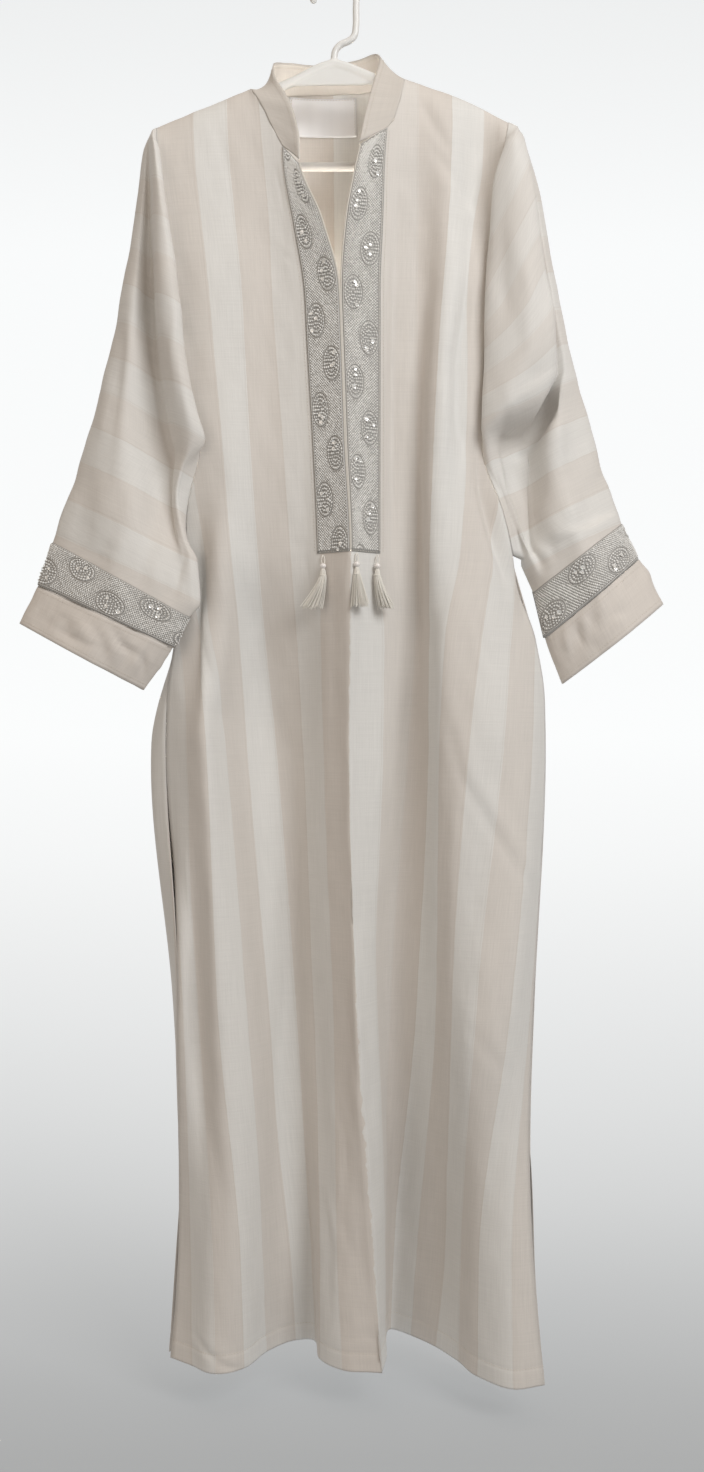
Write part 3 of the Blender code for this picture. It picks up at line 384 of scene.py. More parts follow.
class Finish:
    """A material whose node tree is written as expressions."""

    def __init__(self, name, **constants):
        self.material = bpy.data.materials.new(name)
        self.material.use_nodes = True
        self.tree = self.material.node_tree
        self.shader = self.tree.nodes["Principled BSDF"]
        for socket, value in constants.items():
            self.shader.inputs[socket.replace("_", " ").title().replace("Ior", "IOR")].default_value = value

    def node(self, kind, settings=(), values=(), output=0):
        values = {key: getattr(value, "socket", value) for key, value in dict(values).items()}
        return Wire(self, add_node(self.tree, kind, settings, values).outputs[output])

    def bands(self, place, colours):
        """Bands of one width and flat colours, read at a place from 0 to 1."""
        made = self.node('ShaderNodeValToRGB', (), {0: place})
        scale = made.socket.node.color_ramp
        scale.interpolation = 'CONSTANT'
        while len(scale.elements) < len(colours):
            scale.elements.new(0.5)
        for i, (stop, colour) in enumerate(zip(scale.elements, colours)):
            stop.position, stop.color = i / len(colours), colour
        return made

    def own_place(self):
        """Places in the piece's own space, in metres."""
        return self.node('ShaderNodeTexCoord', output=3)

    def set(self, socket, value):
        self.tree.links.new(value.socket, self.shader.inputs[socket])

    def vector(self, x, y, z=0.0):
        return self.node('ShaderNodeCombineXYZ', (), {0: x, 1: y, 2: z})

    def noise(self, vector, scale, detail=2.0):
        return self.node('ShaderNodeTexNoise', (), {'Vector': vector, 'Scale': scale, 'Detail': detail})

    def mix(self, share, first, second, kind='MIX'):
        return self.node('ShaderNodeMix', {'data_type': 'RGBA', 'blend_type': kind},
                         {0: share, 6: first, 7: second}, output=2)

    def flat_cloth(self):
        """Millimetres across and down on the flat cloth."""
        place = self.node('ShaderNodeUVMap', {'uv_map': "cloth"})
        split = self.node('ShaderNodeSeparateXYZ', (), {0: place})
        return split * 1000.0, Wire(self, split.socket.node.outputs[1]) * 1000.0

    def bump(self, height, distance, strength=1.0, over=None):
        values = {'Strength': strength, 'Distance': distance * MM, 'Height': height}
        if over is not None:
            values['Normal'] = over
        return self.node('ShaderNodeBump', (), values)


WHITE, BEIGE = (0.726, 0.716, 0.692, 1.0), (0.662, 0.617, 0.572, 1.0)


def woven(name, stripes=None, along=False, first=0.0, tint=None, crumple=0.35):
    """Cotton and linen: woven stripes, uneven threads both ways, a close weave and a soft sheen."""
    finish = Finish(name, sheen_weight=0.25, sheen_roughness=0.4, specular_ior_level=0.25)
    u, v = finish.flat_cloth()
    warp, weft = (v, u) if along else (u, v)
    if stripes:
        wander = (finish.noise(finish.vector(warp * 0.3, weft * 0.08), 1.0) - 0.5) * 1.6
        place = (warp + wander - first) / (STRIPE * len(stripes))
        colour = finish.bands(place, [tuple(np.array(WHITE) + share * (np.array(BEIGE) - WHITE))
                                      for share in stripes])
        in_stripe = ((warp + wander - first) / STRIPE).math('FRACT')
        line = ((in_stripe - 0.5).math('ABSOLUTE') - 0.475) * 40.0
        line = line.math('MINIMUM', 1.0).math('MAXIMUM', 0.0)
        colour = finish.mix(line * 0.2, colour, (0.5, 0.44, 0.38, 1.0))
    else:
        colour = tint
    ends = finish.noise(finish.vector(warp * 0.8, weft * 0.022), 1.0, 3.0)
    picks = finish.noise(finish.vector(warp * 0.02, weft * 0.9, 5.0), 1.0, 3.0)
    grain = finish.noise(finish.vector(warp * 1.9, weft * 1.9, 9.0), 1.0, 1.0)
    cloud = finish.noise(finish.vector(warp * 0.012, weft * 0.006, 3.0), 1.0)
    tone = 0.80 + ends * 0.16 + picks * 0.12 + grain * 0.07 + cloud * 0.05
    finish.set('Base Color', finish.mix(1.0, colour, tone, 'MULTIPLY'))
    finish.set('Roughness', 0.62 + ends * 0.16)
    soft = finish.noise(finish.vector(warp * 0.035, weft * 0.018, 1.0), 1.0, 3.0)
    waves = finish.bump(soft, 3.0, crumple)
    finish.set('Normal', finish.bump(ends * 0.5 + picks * 0.45 + grain * 0.3, 0.25, 0.5, over=waves))
    return finish.material


HEM_OUT, GROOVE_DEEP, GROOVE_WIDE = 0.35, 0.6, 1.8


def turned_hem(low):
    """How the doubled cloth of a hem stands out, with a groove along its stitches."""
    groove = GROOVE_DEEP * np.exp(-((low - HEM_STITCH) / GROOVE_WIDE) ** 2)
    return HEM_OUT * ramp(low, HEM_STITCH + 2, HEM_STITCH - 1) - groove


def front_half(side):
    """Points of half the front from the slit to the side, its flat cloth, and distance to the hem."""
    fixed = sorted({HALF_SLIT, *np.arange(5.0, FLARE_FROM, 5.0), *(p[0] for p in FRONT_NECK[side][1:]),
                    54.0, 56.0, 59.0, 61.0, FLARE_FROM})
    columns = [panel_column(front_points, side, out, 0.0, lambda at: front_top(side, at)) for out in fixed]
    columns += [panel_column(front_points, side, FLARE_FROM, share, lambda at: front_top(side, at))
                for share in FLARE]
    net, flat, low = (np.array(part).swapaxes(0, 1) for part in zip(*columns))
    normals = face_forward(net)
    down = -net[..., 2]
    sway = ripple(net[..., 0], down, 3 + side, ((74, 900), (118, 640), (51, 1300)), 1.6)
    move = crease(net, FRONT_CREASES) + ramp(down, 260, 560) * sway
    move += ripple(net[..., 0], down, 8 + side, ((31, 120), (47, -83), (-26, 61)), 0.34)
    beside = ramp(np.abs(flat[..., 0]), RIBBON_EDGE, RIBBON_EDGE + 12)
    move *= np.maximum(beside, ramp(down, SLIT_END + 3, SLIT_END + 33))
    return net + normals * (move + turned_hem(low))[..., None], flat, low, normals


halves = {side: front_half(side) for side in (-1, 1)}
front_net, front_flat, front_low, front_normals = (
    np.concatenate([left[:, ::-1], right], axis=1) for left, right in zip(halves[-1], halves[1]))
front_middle = halves[-1][0].shape[1] - 1
slit_rows = len(UPPER_ROWS) - 1
gown_cloth = woven("striped_cloth", STRIPES, first=-len(STRIPES) / 2 * STRIPE)
front = cloth_piece("gown_front", front_net, front_flat, FABRIC, gown_cloth,
                    skip=lambda i, j: j == front_middle and i < slit_rows)
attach(front, "root")
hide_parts("front_chest_left", "front_chest_right", "front_skirt", "front_hem")

# The back panel: the same cloth, joined to the front at the shoulders and down both sides, where the
# seams end in openings above the hem. It bellies out behind in long folds.
ARMHOLE_CLOSES, ARMHOLE_END = 480.0, 640.0    # between these the back's edge comes forward to the front's
SIDE_OPENING = 1290.0    # where the side seams end
REAR_DROP = 4.0          # how much lower the back's hem hangs
SEAM_ROOM = 0.2          # between the edges of front and back where they are sewn
OPENING_LONG, EDGE_WIDE = 120.0, 70.0    # how far the seam's end and the front's edge are felt
REAR_COLUMNS = (-9, -7, -5, -3, -1, 1, 3, 5, 7, 9)
REAR_ACROSS = [
    (131, -340, -265, -195, -119, -42, 40, 119, 197, 268, 342),
    (362, -318, -245, -178, -112, -38, 40, 112, 176, 245, 318),
    (527, -290, -224, -160, -104, -34, 40, 110, 174, 236, 300),
    (645, -250, -196, -146, -98, -32, 40, 106, 172, 226, 276),
    (735, -220, -190, -146, -92, -30, 40, 102, 168, 228, 260),
    (851, -150, -204, -152, -90, -26, 38, 100, 160, 226, 236),
    (1132, -150, -178, -144, -84, -16, 42, 96, 154, 212, 232),
    (1407, -178, -160, -122, -84, -28, 48, 98, 150, 188, 224),
    (1528, -186, -158, -120, -82, -36, 50, 100, 148, 190, 230),
]
REAR_BACK = [
    (131, 6, 14, 22, 40, 60, 60, 42, 24, 14, 6),
    (362, 12, 18, 20, 38, 30, 34, 40, 22, 18, 12),
    (527, 8, 18, 24, 40, 30, 36, 46, 26, 18, 8),
    (645, 10, 14, 26, 50, 30, 44, 38, 24, 14, 10),
    (735, 14, 20, 52, 60, 40, 62, 40, 46, 20, 12),
    (851, -10, 26, 60, 62, 54, 70, 36, 50, 24, 14),
    (1132, -6, 28, 66, 74, 58, 86, 44, 66, 30, -2),
    (1407, 24, 34, 64, 56, 70, 96, 66, 84, 24, -36),
    (1528, 26, 46, 72, 56, 76, 106, 68, 88, 36, -38),
]
REAR_NECK = ((-88, 131), (-66, 119), (-20, 113), (20, 112), (48, 114), (62, 120))
REAR_CREASES = [
    (((-120, 640), (-80, 700), (-30, 742)), 6.0, 1.6),
    (((118, 560), (96, 640), (60, 700)), 7.0, 1.5),
    (((-60, 990), (-10, 1030), (30, 1044)), 5.0, 1.2),
    (((70, 1230), (110, 1262), (150, 1270)), 4.0, 1.0),
    (((-140, 1380), (-96, 1400)), 3.0, 0.8),
]


def rear_points(out, down):
    """Points of the back panel; "out" runs from its left edge, negative, to its right edge."""
    out, down = paired(out, down)
    shape, out, down = out.shape, out.ravel(), down.ravel()
    columns = np.array(REAR_COLUMNS) * STRIPE
    seam = np.where(out < 0, shoulder_line(-1, -out), shoulder_line(1, out))
    points = np.stack([read_table(REAR_ACROSS, columns, out, down),
                       read_table(REAR_BACK, columns, out, down) * fall(down - seam), -down], axis=-1)
    for side in (-1, 1):
        edge = cut_edge(side, down)
        target = front_points(side, edge, down)
        own_x = read_table(REAR_ACROSS, columns, side * edge, down)
        own_y = read_table(REAR_BACK, columns, side * edge, down) * fall(down - shoulder_line(side, edge))
        joined = ramp(down, ARMHOLE_CLOSES, ARMHOLE_END)
        opened = ramp(down, SIDE_OPENING, SIDE_OPENING + OPENING_LONG)
        near = ramp(edge - side * out, EDGE_WIDE, 0) ** 2
        near *= joined ** 2 * (3 - 2 * joined) * (1.0 - opened) ** 2
        points[:, 0] += near * (target[:, 0] - own_x)
        points[:, 1] += near * (target[:, 1] - own_y + FABRIC + SEAM_ROOM)
    return points.reshape(shape + (3,))


def rear_top(out):
    """How far down the back's upper edge is: shoulder seams and the neck between them."""
    line = np.interp(out, *zip(*REAR_NECK))
    line = np.where(out < -NECK_POINT[-1], shoulder_line(-1, -out), line)
    return np.where(out > NECK_POINT[1], shoulder_line(1, out), line)


def rear_column(side, out, share):
    return panel_column(lambda side, out, down: rear_points(side * np.asarray(out), down), side, out, share,
                        lambda at: rear_top(side * at), REAR_DROP)


rear_out = sorted({*np.arange(-FLARE_FROM, FLARE_FROM + 1, 6.8), -88.0, 62.0})
columns = [rear_column(-1, FLARE_FROM, share) for share in FLARE[::-1]]
columns += [rear_column(-1 if out < 0 else 1, abs(out), 0.0) for out in rear_out]
columns += [rear_column(1, FLARE_FROM, share) for share in FLARE]
rear_net, rear_flat, rear_low = (np.array(part).swapaxes(0, 1) for part in zip(*columns))
rear_normals = -face_forward(rear_net)
rear_down = -rear_net[..., 2]
inner = ramp(np.abs(rear_flat[..., 0]), 160, 100) * ramp(rear_down, 200, 400)
rear_move = ripple(rear_net[..., 0], rear_down, 21, ((84, 800), (131, -900)), 1.8)
rear_move = (crease(rear_net, REAR_CREASES) + rear_move) * inner + turned_hem(rear_low)
rear_net = rear_net + rear_normals * rear_move[..., None]
back = cloth_piece("gown_back", rear_net, rear_flat, FABRIC, gown_cloth)
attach(back, "root")
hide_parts("back_chest", "back_skirt", "back_hem")

# The neck ribbons: embroidered net 42 mm wide, sewn down both sides of the slit. Silver-grey thread
# is worked in a winding band of small knots, round ovals of beads and sequins. It repeats every 96 mm.
RIBBON_WIDTH = 42.0
RIBBON = 0.7             # thickness of a ribbon
PITCH = 3.1              # distance between knots
REPEAT = 96.0            # length of one repeat
OVAL = (18.5, 10.5)      # half the length and half the width of an oval
OVAL_OFF, OVAL_ROOM = 8.5, 1.2     # how far an oval's middle is from the ribbon's, and the room round it
BAND_OFF, BAND_WIDE = 11.0, 6.5    # the winding band: how far it swings out, and half its width
BEAD_RINGS = ((0.86, 26), (0.64, 19), (0.42, 12), (0.2, 6))    # share of the oval's size, number of beads
CORDS_OUT = (0.9, -1.3)            # how far outside an oval's edge its two cords run
CORD_IN = 1.6                      # how far in from the ribbon's edges its long cords run
BAND_KNOT, OTHER_KNOT = 1.06, 0.93    # sizes of the knots inside and outside the band
ON_CLOTH = FABRIC / 2 + 0.5        # how far the middle of a ribbon's thickness is from the cloth's
ON_RIBBON = ON_CLOTH + RIBBON / 2  # and its face, where the needlework is
WORK_FROM = 190.0                  # where the needlework begins, below the hook
FIRST_OVAL = {-1: 204.0, 1: 224.0}  # where its first oval is


def ribbon_surface(side, lift):
    """Reads points and directions on a neck ribbon, by the distance across it and down."""
    def read(across, down):
        across, down = paired(across, down)
        here = front_points(side, across, down)
        beside, below = front_points(side, across + 1, down), front_points(side, across, down + 1)
        away = np.cross(beside - here, below - here)
        away /= np.linalg.norm(away, axis=-1, keepdims=True)
        away *= -np.sign(away[..., 1:2])
        return here + away * lift, away
    return read


def ribbon_points(begin, end, inside, seed, start):
    """Places on a ribbon for its knots, beads and sequins, and the lines that its cords follow."""
    rng = np.random.default_rng(seed)
    rows = np.arange(begin, end, PITCH / 2)
    knots, beads, sequins, cords = [], [], [], []
    centres = [(start + k * REPEAT / 2, (-1) ** k) for k in range(int(end // (REPEAT / 2)) + 3)]

    def near_oval(s, t):
        return any(((t - at) / (OVAL[0] + OVAL_ROOM)) ** 2
                   + ((s - RIBBON_WIDTH / 2 - sign * OVAL_OFF) / (OVAL[1] + OVAL_ROOM)) ** 2 < 1
                   for at, sign in centres)

    for i, t in enumerate(rows):
        band = RIBBON_WIDTH / 2 - BAND_OFF * math.cos(2 * math.pi * (t - start) / REPEAT)
        for s in np.arange(3.0 + (i % 2) * PITCH / 2, RIBBON_WIDTH - 2.6, PITCH):
            if inside(s, t) and not near_oval(s, t):
                knot_size = BAND_KNOT if abs(s - band) < BAND_WIDE else OTHER_KNOT
                knots.append((s, t, knot_size + 0.1 * rng.standard_normal()))
    for at, sign in centres:
        middle = RIBBON_WIDTH / 2 + sign * OVAL_OFF
        for grow in CORDS_OUT:
            ring = [(middle + (OVAL[1] + grow) * math.cos(a), at + (OVAL[0] + grow) * math.sin(a))
                    for a in np.linspace(0, 2 * math.pi, 41)]
            cords.append([p for p in ring if inside(*p) and 2.0 < p[0] < RIBBON_WIDTH - 2.0])
        for size, count in BEAD_RINGS:
            for a in np.linspace(0, 2 * math.pi, count, endpoint=False):
                s, t = middle + OVAL[1] * size * math.cos(a), at + OVAL[0] * size * math.sin(a)
                if inside(s, t):
                    beads.append((s, t, 1.0 + 0.15 * rng.standard_normal()))
        for _ in range(3):
            s, t = middle + rng.uniform(-0.5, 0.5) * OVAL[1], at + rng.uniform(-0.75, 0.75) * OVAL[0]
            if inside(s, t):
                sequins.append((s, t, 1.0 + 0.1 * rng.standard_normal()))
    for edge in (CORD_IN, RIBBON_WIDTH - CORD_IN):
        cords.append([(edge, t) for t in np.arange(begin, end, 4.0) if inside(edge, t)])
    return {"knots": knots, "beads": beads, "sequins": sequins, "cords": [c for c in cords if len(c) > 2]}


def group_tree(name, sockets):
    """An empty Geometry Nodes tree with named inputs, and a maker of its nodes."""
    tree = bpy.data.node_groups.new(name, 'GeometryNodeTree')
    tree.interface.new_socket(name="Geometry", in_out='INPUT', socket_type='NodeSocketGeometry')
    tree.interface.new_socket(name="Geometry", in_out='OUTPUT', socket_type='NodeSocketGeometry')
    for socket, kind in sockets.items():
        tree.interface.new_socket(name=socket, in_out='INPUT', socket_type=kind)

    def make(kind, settings=(), values=()):
        return add_node(tree, kind, settings, values).outputs
    return tree, make, make('NodeGroupInput')


def finish_tree(make, geometry, material):
    """Every tree ends in real, smooth faces with their material."""
    real = make('GeometryNodeRealizeInstances', (), {0: geometry})[0]
    smooth_faces = make('GeometryNodeSetShadeSmooth', (), {0: real})[0]
    named = make('GeometryNodeSetMaterial', (), {'Geometry': smooth_faces, 'Material': material})[0]
    make('NodeGroupOutput', (), {0: named})


# Repeats one small shape on points that carry their facing and size.
strewn, make, given = group_tree("strewn", {"Shape": 'NodeSocketObject', "Size": 'NodeSocketFloat',
                                            "Seed": 'NodeSocketInt', "Finish": 'NodeSocketMaterial'})
facing = make('GeometryNodeInputNamedAttribute', {'data_type': 'FLOAT_VECTOR'}, {'Name': "facing"})[0]
size = make('GeometryNodeInputNamedAttribute', {'data_type': 'FLOAT'}, {'Name': "size"})[0]
turn = make('FunctionNodeAlignRotationToVector', {'axis': 'Z'}, {'Vector': facing})[0]
roll = make('FunctionNodeRandomValue', {'data_type': 'FLOAT'}, {2: 0.0, 3: 6.28, 'Seed': given['Seed']})[1]
spin = make('ShaderNodeCombineXYZ', (), {2: roll})[0]
turned = make('FunctionNodeRotateRotation', {'rotation_space': 'LOCAL'}, {0: turn, 1: spin})[0]
scale = make('ShaderNodeMath', {'operation': 'MULTIPLY'}, {0: size, 1: given['Size']})[0]
shape = make('GeometryNodeObjectInfo', (), {'Object': given['Shape']})['Geometry']
placed = make('GeometryNodeInstanceOnPoints', (),
              {'Points': given['Geometry'], 'Instance': shape, 'Rotation': turned, 'Scale': scale})[0]
finish_tree(make, placed, given['Finish'])

# Lays a round thread along lines whose points carry their thickness.
threaded, make, given = group_tree("threaded", {"Radius": 'NodeSocketFloat', "Sides": 'NodeSocketInt',
                                                "Finish": 'NodeSocketMaterial'})
line = make('GeometryNodeMeshToCurve', (), {0: given['Geometry']})[0]
thick = make('GeometryNodeInputNamedAttribute', {'data_type': 'FLOAT'}, {'Name': "size"})[0]
ring = make('GeometryNodeCurvePrimitiveCircle', (),
            {'Resolution': given['Sides'], 'Radius': given['Radius']})[0]
laid = make('GeometryNodeCurveToMesh', (), {'Curve': line, 'Profile Curve': ring, 'Scale': thick,
                                            'Fill Caps': True})[0]
finish_tree(make, laid, given['Finish'])


def settle(piece):
    """Keeps what the steps on a piece have made of it as its own plain mesh."""
    bpy.context.view_layer.update()
    plain = bpy.data.meshes.new_from_object(piece.evaluated_get(bpy.context.evaluated_depsgraph_get()))
    piece.modifiers.clear()
    piece.data = plain
    plain.name = piece.name


def links(start, number):
    """Lines that join a number of points, each to the next."""
    return [(i, i + 1) for i in range(start, start + number - 1)]


def repeat(name, tree, points, lines=(), facing=None, sizes=None, **values):
    """Runs a tree on points and lines, given in millimetres, and keeps its result as a plain mesh."""
    mesh = bpy.data.meshes.new(name)
    mesh.from_pydata((np.asarray(points, float) * MM).tolist(), list(lines), [])
    if facing is not None:
        mesh.attributes.new("facing", 'FLOAT_VECTOR', 'POINT').data.foreach_set(
            "vector", np.asarray(facing, np.float32).ravel())
    if sizes is not None:
        mesh.attributes.new("size", 'FLOAT', 'POINT').data.foreach_set("value", np.asarray(sizes, np.float32))
    piece = show(name, mesh)
    modifier = piece.modifiers.new("made", 'NODES')
    modifier.node_group = tree
    for socket in tree.interface.items_tree:
        key = socket.name.lower()
        if socket.in_out == 'INPUT' and key in values:
            modifier[socket.identifier] = values[key]
    settle(piece)
    return piece


def plain_mesh(name, shape):
    """The mesh of a finished shape."""
    mesh = bpy.data.meshes.new(name)
    shape.to_mesh(mesh)
    shape.free()
    return mesh


def unit_shape(name, build):
    """A small shape that trees repeat; it is never shown itself."""
    shape = bmesh.new()
    build(shape)
    return bpy.data.objects.new(name, plain_mesh(name, shape))


def sequin_shape(shape):
    """A cupped disc with a hole, like a shallow dish."""
    rings = ((0.18, 0.02), (0.5, -0.05), (1.0, 0.14))
    loops = [[shape.verts.new((r * math.cos(a), r * math.sin(a), z))
              for a in np.linspace(0, 2 * math.pi, 12, endpoint=False)] for r, z in rings]
    for inner, outer in zip(loops[:-1], loops[1:]):
        for i in range(12):
            shape.faces.new((inner[i], outer[i], outer[(i + 1) % 12], inner[(i + 1) % 12]))


knot_unit = unit_shape("knot_unit",
                       lambda shape: bmesh.ops.create_icosphere(shape, subdivisions=1, radius=1.0))
sequin_unit = unit_shape("sequin_unit", sequin_shape)


def thread_finish(name, colour, roughness, metallic=0.0):
    """Fine twisted thread."""
    finish = Finish(name, metallic=metallic, sheen_weight=0.2, specular_ior_level=0.5)
    place = finish.own_place()
    twist = finish.noise(place, 1400.0)
    tone = 0.8 + twist * 0.4
    finish.set('Base Color', finish.mix(1.0, (*colour, 1.0), tone, 'MULTIPLY'))
    finish.set('Roughness', roughness + twist * 0.2)
    finish.set('Normal', finish.bump(twist, 0.2, 0.5))
    return finish.material


silver_thread = thread_finish("silver_thread", (0.80, 0.79, 0.765), 0.3, 0.05)
silver_cord = thread_finish("silver_cord", (0.60, 0.585, 0.56), 0.4, 0.1)
bead_glass = thread_finish("seed_beads", (0.80, 0.79, 0.765), 0.12, 0.05)


def sequin_finish():
    finish = Finish("sequins", roughness=0.14, coat_weight=0.5)
    place = finish.own_place()
    tone = 0.75 + finish.noise(place, 260.0) * 0.4
    finish.set('Base Color', finish.mix(1.0, (0.95, 0.95, 0.93, 1.0), tone, 'MULTIPLY'))
    finish.set('Metallic', tone * 0.35)
    return finish.material


sequin_foil = sequin_finish()


def net_finish():
    """The ribbon's ground: grey net darned with thread in a slanting lattice."""
    finish = Finish("ribbon_net", roughness=0.6, sheen_weight=0.15)
    u, v = finish.flat_cloth()
    slant = ((u + v) * (math.pi / PITCH)).math('SINE') * ((u - v) * (math.pi / PITCH)).math('SINE')
    thread = finish.noise(finish.vector(u, v), 1.6, 3.0)
    colour = finish.mix((slant * 0.5 + 0.5) * 0.6 + thread * 0.3,
                        (0.27, 0.262, 0.25, 1.0), (0.50, 0.49, 0.47, 1.0))
    finish.set('Base Color', colour)
    finish.set('Roughness', 0.5 + thread * 0.25)
    finish.set('Normal', finish.bump(slant + thread, 0.3, 0.6))
    return finish.material


ribbon_ground = net_finish()


def embroider(name, surface, points, seed):
    """Sews knots, beads, sequins and cords on a ribbon; the surface gives each place and direction."""
    made = []
    for part, unit, size, finish, sink in (("knots", knot_unit, 1.12, silver_thread, 0.15),
                                           ("beads", knot_unit, 1.15, bead_glass, 0.4),
                                           ("sequins", sequin_unit, 2.2, sequin_foil, 1.1)):
        places = np.array(points[part])
        at, away = surface(places[:, 0], places[:, 1])
        rng = np.random.default_rng(seed)
        facing = away + rng.normal(0, 0.12 if part == "sequins" else 0.0, away.shape)
        made.append(repeat(f"{part}_{name}", strewn, at + away * sink, facing=facing, sizes=places[:, 2],
                           shape=unit, size=size * MM, seed=seed, finish=finish))
    vertices, lines, sizes = [], [], []
    for cord in points["cords"]:
        at, away = surface(*np.array(cord).T)
        gaps = np.linalg.norm(np.diff(np.array(cord), axis=0), axis=1)
        lines += [(len(vertices) + i, len(vertices) + i + 1) for i in range(len(cord) - 1) if gaps[i] < 6]
        vertices += (at + away * 0.35).tolist()
    made.append(repeat(f"cords_{name}", threaded, vertices, lines, sizes=np.ones(len(vertices)),
                       radius=0.45 * MM, sides=5, finish=silver_cord))
    for piece in made:
        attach(piece, "root")
    return made


def lay_ribbon(name, surface, across, along, work, seed):
    """Lays a ribbon's ground on a surface and works its needlework on it."""
    ribbon = cloth_piece(f"ribbon_{name}", surface(ON_CLOTH)(across, along)[0],
                         np.stack([across, along], -1), RIBBON, ribbon_ground)
    pieces = embroider(name, surface(ON_RIBBON), work, seed)
    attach(ribbon, "root")
    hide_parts(f"trim_{name}")
    return ribbon, pieces


PIPING, PIPING_IN, PIPING_STANDS = 1.2, 0.75, 0.4     # radius of the slit's piped edge, and its place
piping_cloth = thread_finish("piping", (0.60, 0.57, 0.52), 0.6)
for side, name in ((-1, "neck_left"), (1, "neck_right")):
    ribbon_out = np.linspace(HALF_SLIT, RIBBON_WIDTH + HALF_SLIT, 15)
    tops = front_top(side, ribbon_out) + 1.0
    share = np.linspace(0, 1, 110)[:, None]
    across, down = paired(ribbon_out[None, :], tops[None, :] + (SLIT_END - tops[None, :]) * share)
    work = ribbon_points(WORK_FROM, SLIT_END - 2, lambda s, t: front_top(side, s) + 3 < t < SLIT_END - 2.5,
                         11 + side, FIRST_OVAL[side])
    ribbon, pieces = lay_ribbon(name, lambda lift: ribbon_surface(side, lift), across, down, work, 31 + side)
    edge_down = np.arange(front_top(side, 0.0) + 2, SLIT_END, 4.0)
    edge_at = ribbon_surface(side, PIPING_STANDS)(np.full(len(edge_down), HALF_SLIT), edge_down)[0]
    edge_at[:, 0] -= side * PIPING_IN
    piping = repeat(f"piping_{name}", threaded, edge_at, links(0, len(edge_at)),
                    sizes=np.ones(len(edge_at)), radius=PIPING * MM, sides=10, finish=piping_cloth)
    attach(piping, "root")
    pieces.append(piping)

# The label: a blank piece of white satin ribbon with folded ends, sewn by its upper edge and corners
# to the inside of the back, just under the neck seam.
LABEL_LEFT, LABEL_RIGHT, LABEL_TOP, LABEL_BOTTOM = -47.0, 25.0, 117.5, 163.5
SATIN, LABEL_OFF = 0.5, 1.2              # its thickness, and how far it is from the middle of the cloth


def flat_grid(columns, rows):
    """Flat cloth of even width: each column crossed with each row."""
    return np.stack(np.broadcast_arrays(columns[None, :], rows[:, None]), -1)


columns, rows = np.linspace(LABEL_LEFT, LABEL_RIGHT, 25), np.linspace(LABEL_TOP, LABEL_BOTTOM, 16)
at = rear_points(columns[None, :], rows[:, None])
inward = face_forward(at)
share = ramp(rows, LABEL_TOP, LABEL_BOTTOM)[:, None]
bulge = np.sin(math.pi * share) * 0.8 + 1.6 * share ** 2 * np.abs((columns - columns.mean()) / 36) ** 3
label_net = at + inward * (LABEL_OFF + bulge)[..., None]
satin = Finish("label_satin", sheen_weight=0.3, sheen_roughness=0.3, specular_ior_level=0.6)
u, v = satin.flat_cloth()
# Painted sheen: streaks of lighter base colour stand for the satin's shine.
painted_sheen_bands = satin.noise(satin.vector(u * 0.05, v * 0.004), 1.0)
fine = satin.noise(satin.vector(u * 3.0, v * 0.2), 1.0)
satin.set('Base Color', satin.mix(painted_sheen_bands, (0.76, 0.76, 0.78, 1.0), (0.93, 0.93, 0.95, 1.0)))
satin.set('Roughness', 0.28 + fine * 0.2)
satin.set('Normal', satin.bump(fine, 0.1, 0.4))
label = cloth_piece("label_satin", label_net, flat_grid(columns, rows), SATIN, satin.material)
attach(label, "root")
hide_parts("label")

# The collar: a stand band of plain beige cloth, two layers turned out along the free edge and sewn on
# round the neck. It leans inward over the shoulders and ends above the slit.
COLLAR_TOP = [
    # along, across, back, down: the collar's free edge from its left end round to its right end
    (0.00, -36, -45, 223), (0.08, -37, -43, 194), (0.15, -44, -36, 164), (0.22, -55, -24, 139),
    (0.28, -65, -6, 117), (0.33, -66, 10, 99), (0.42, -52, 30, 89), (0.54, -12, 38, 89),
    (0.66, 28, 33, 84), (0.74, 47, 20, 83), (0.80, 51, 2, 97), (0.87, 43, -20, 132),
    (0.94, 34, -34, 170), (1.00, 28, -41, 203),
]
COLLAR_HIGH, COLLAR_THICK = 31.0, 1.6


def gone_along(points):
    """How far along a line each of its points is."""
    return np.concatenate([[0], np.cumsum(np.linalg.norm(np.diff(points, axis=0), axis=1))])


neck_out = {side: np.linspace(RIBBON_WIDTH, NECK_POINT[side], 40) for side in (-1, 1)}
behind = np.linspace(-84, 58, 60)
foot = np.vstack([front_points(-1, neck_out[-1], front_top(-1, neck_out[-1])),
                  rear_points(behind, rear_top(behind)),
                  front_points(1, neck_out[1], front_top(1, neck_out[1]))[::-1]])
length = gone_along(foot)
foot_even = np.linspace(0, 1, 120)
foot = np.stack([np.interp(foot_even, length / length[-1], foot[:, axis]) for axis in range(3)], -1)
kernel = np.ones(5) / 5
for axis in range(3):
    foot[2:-2, axis] = np.convolve(foot[:, axis], kernel, 'valid')
knots = [row[0] for row in COLLAR_TOP]
free = np.stack([smooth(knots, [row[axis] for row in COLLAR_TOP], foot_even) for axis in (1, 2, 3)], -1)
free[:, 2] *= -1
rise = np.linspace(0, 1, 14)[:, None, None]
collar_net = foot[None] + (free - foot)[None] * rise
bow = directions(collar_net)
unevenness = ripple(foot_even[None, :] * 400, rise[..., 0] * COLLAR_HIGH, 5, ((38, 60), (23, -90)), 0.35)
collar_net = collar_net + bow * (np.sin(math.pi * rise) * 0.9 + unevenness[..., None])
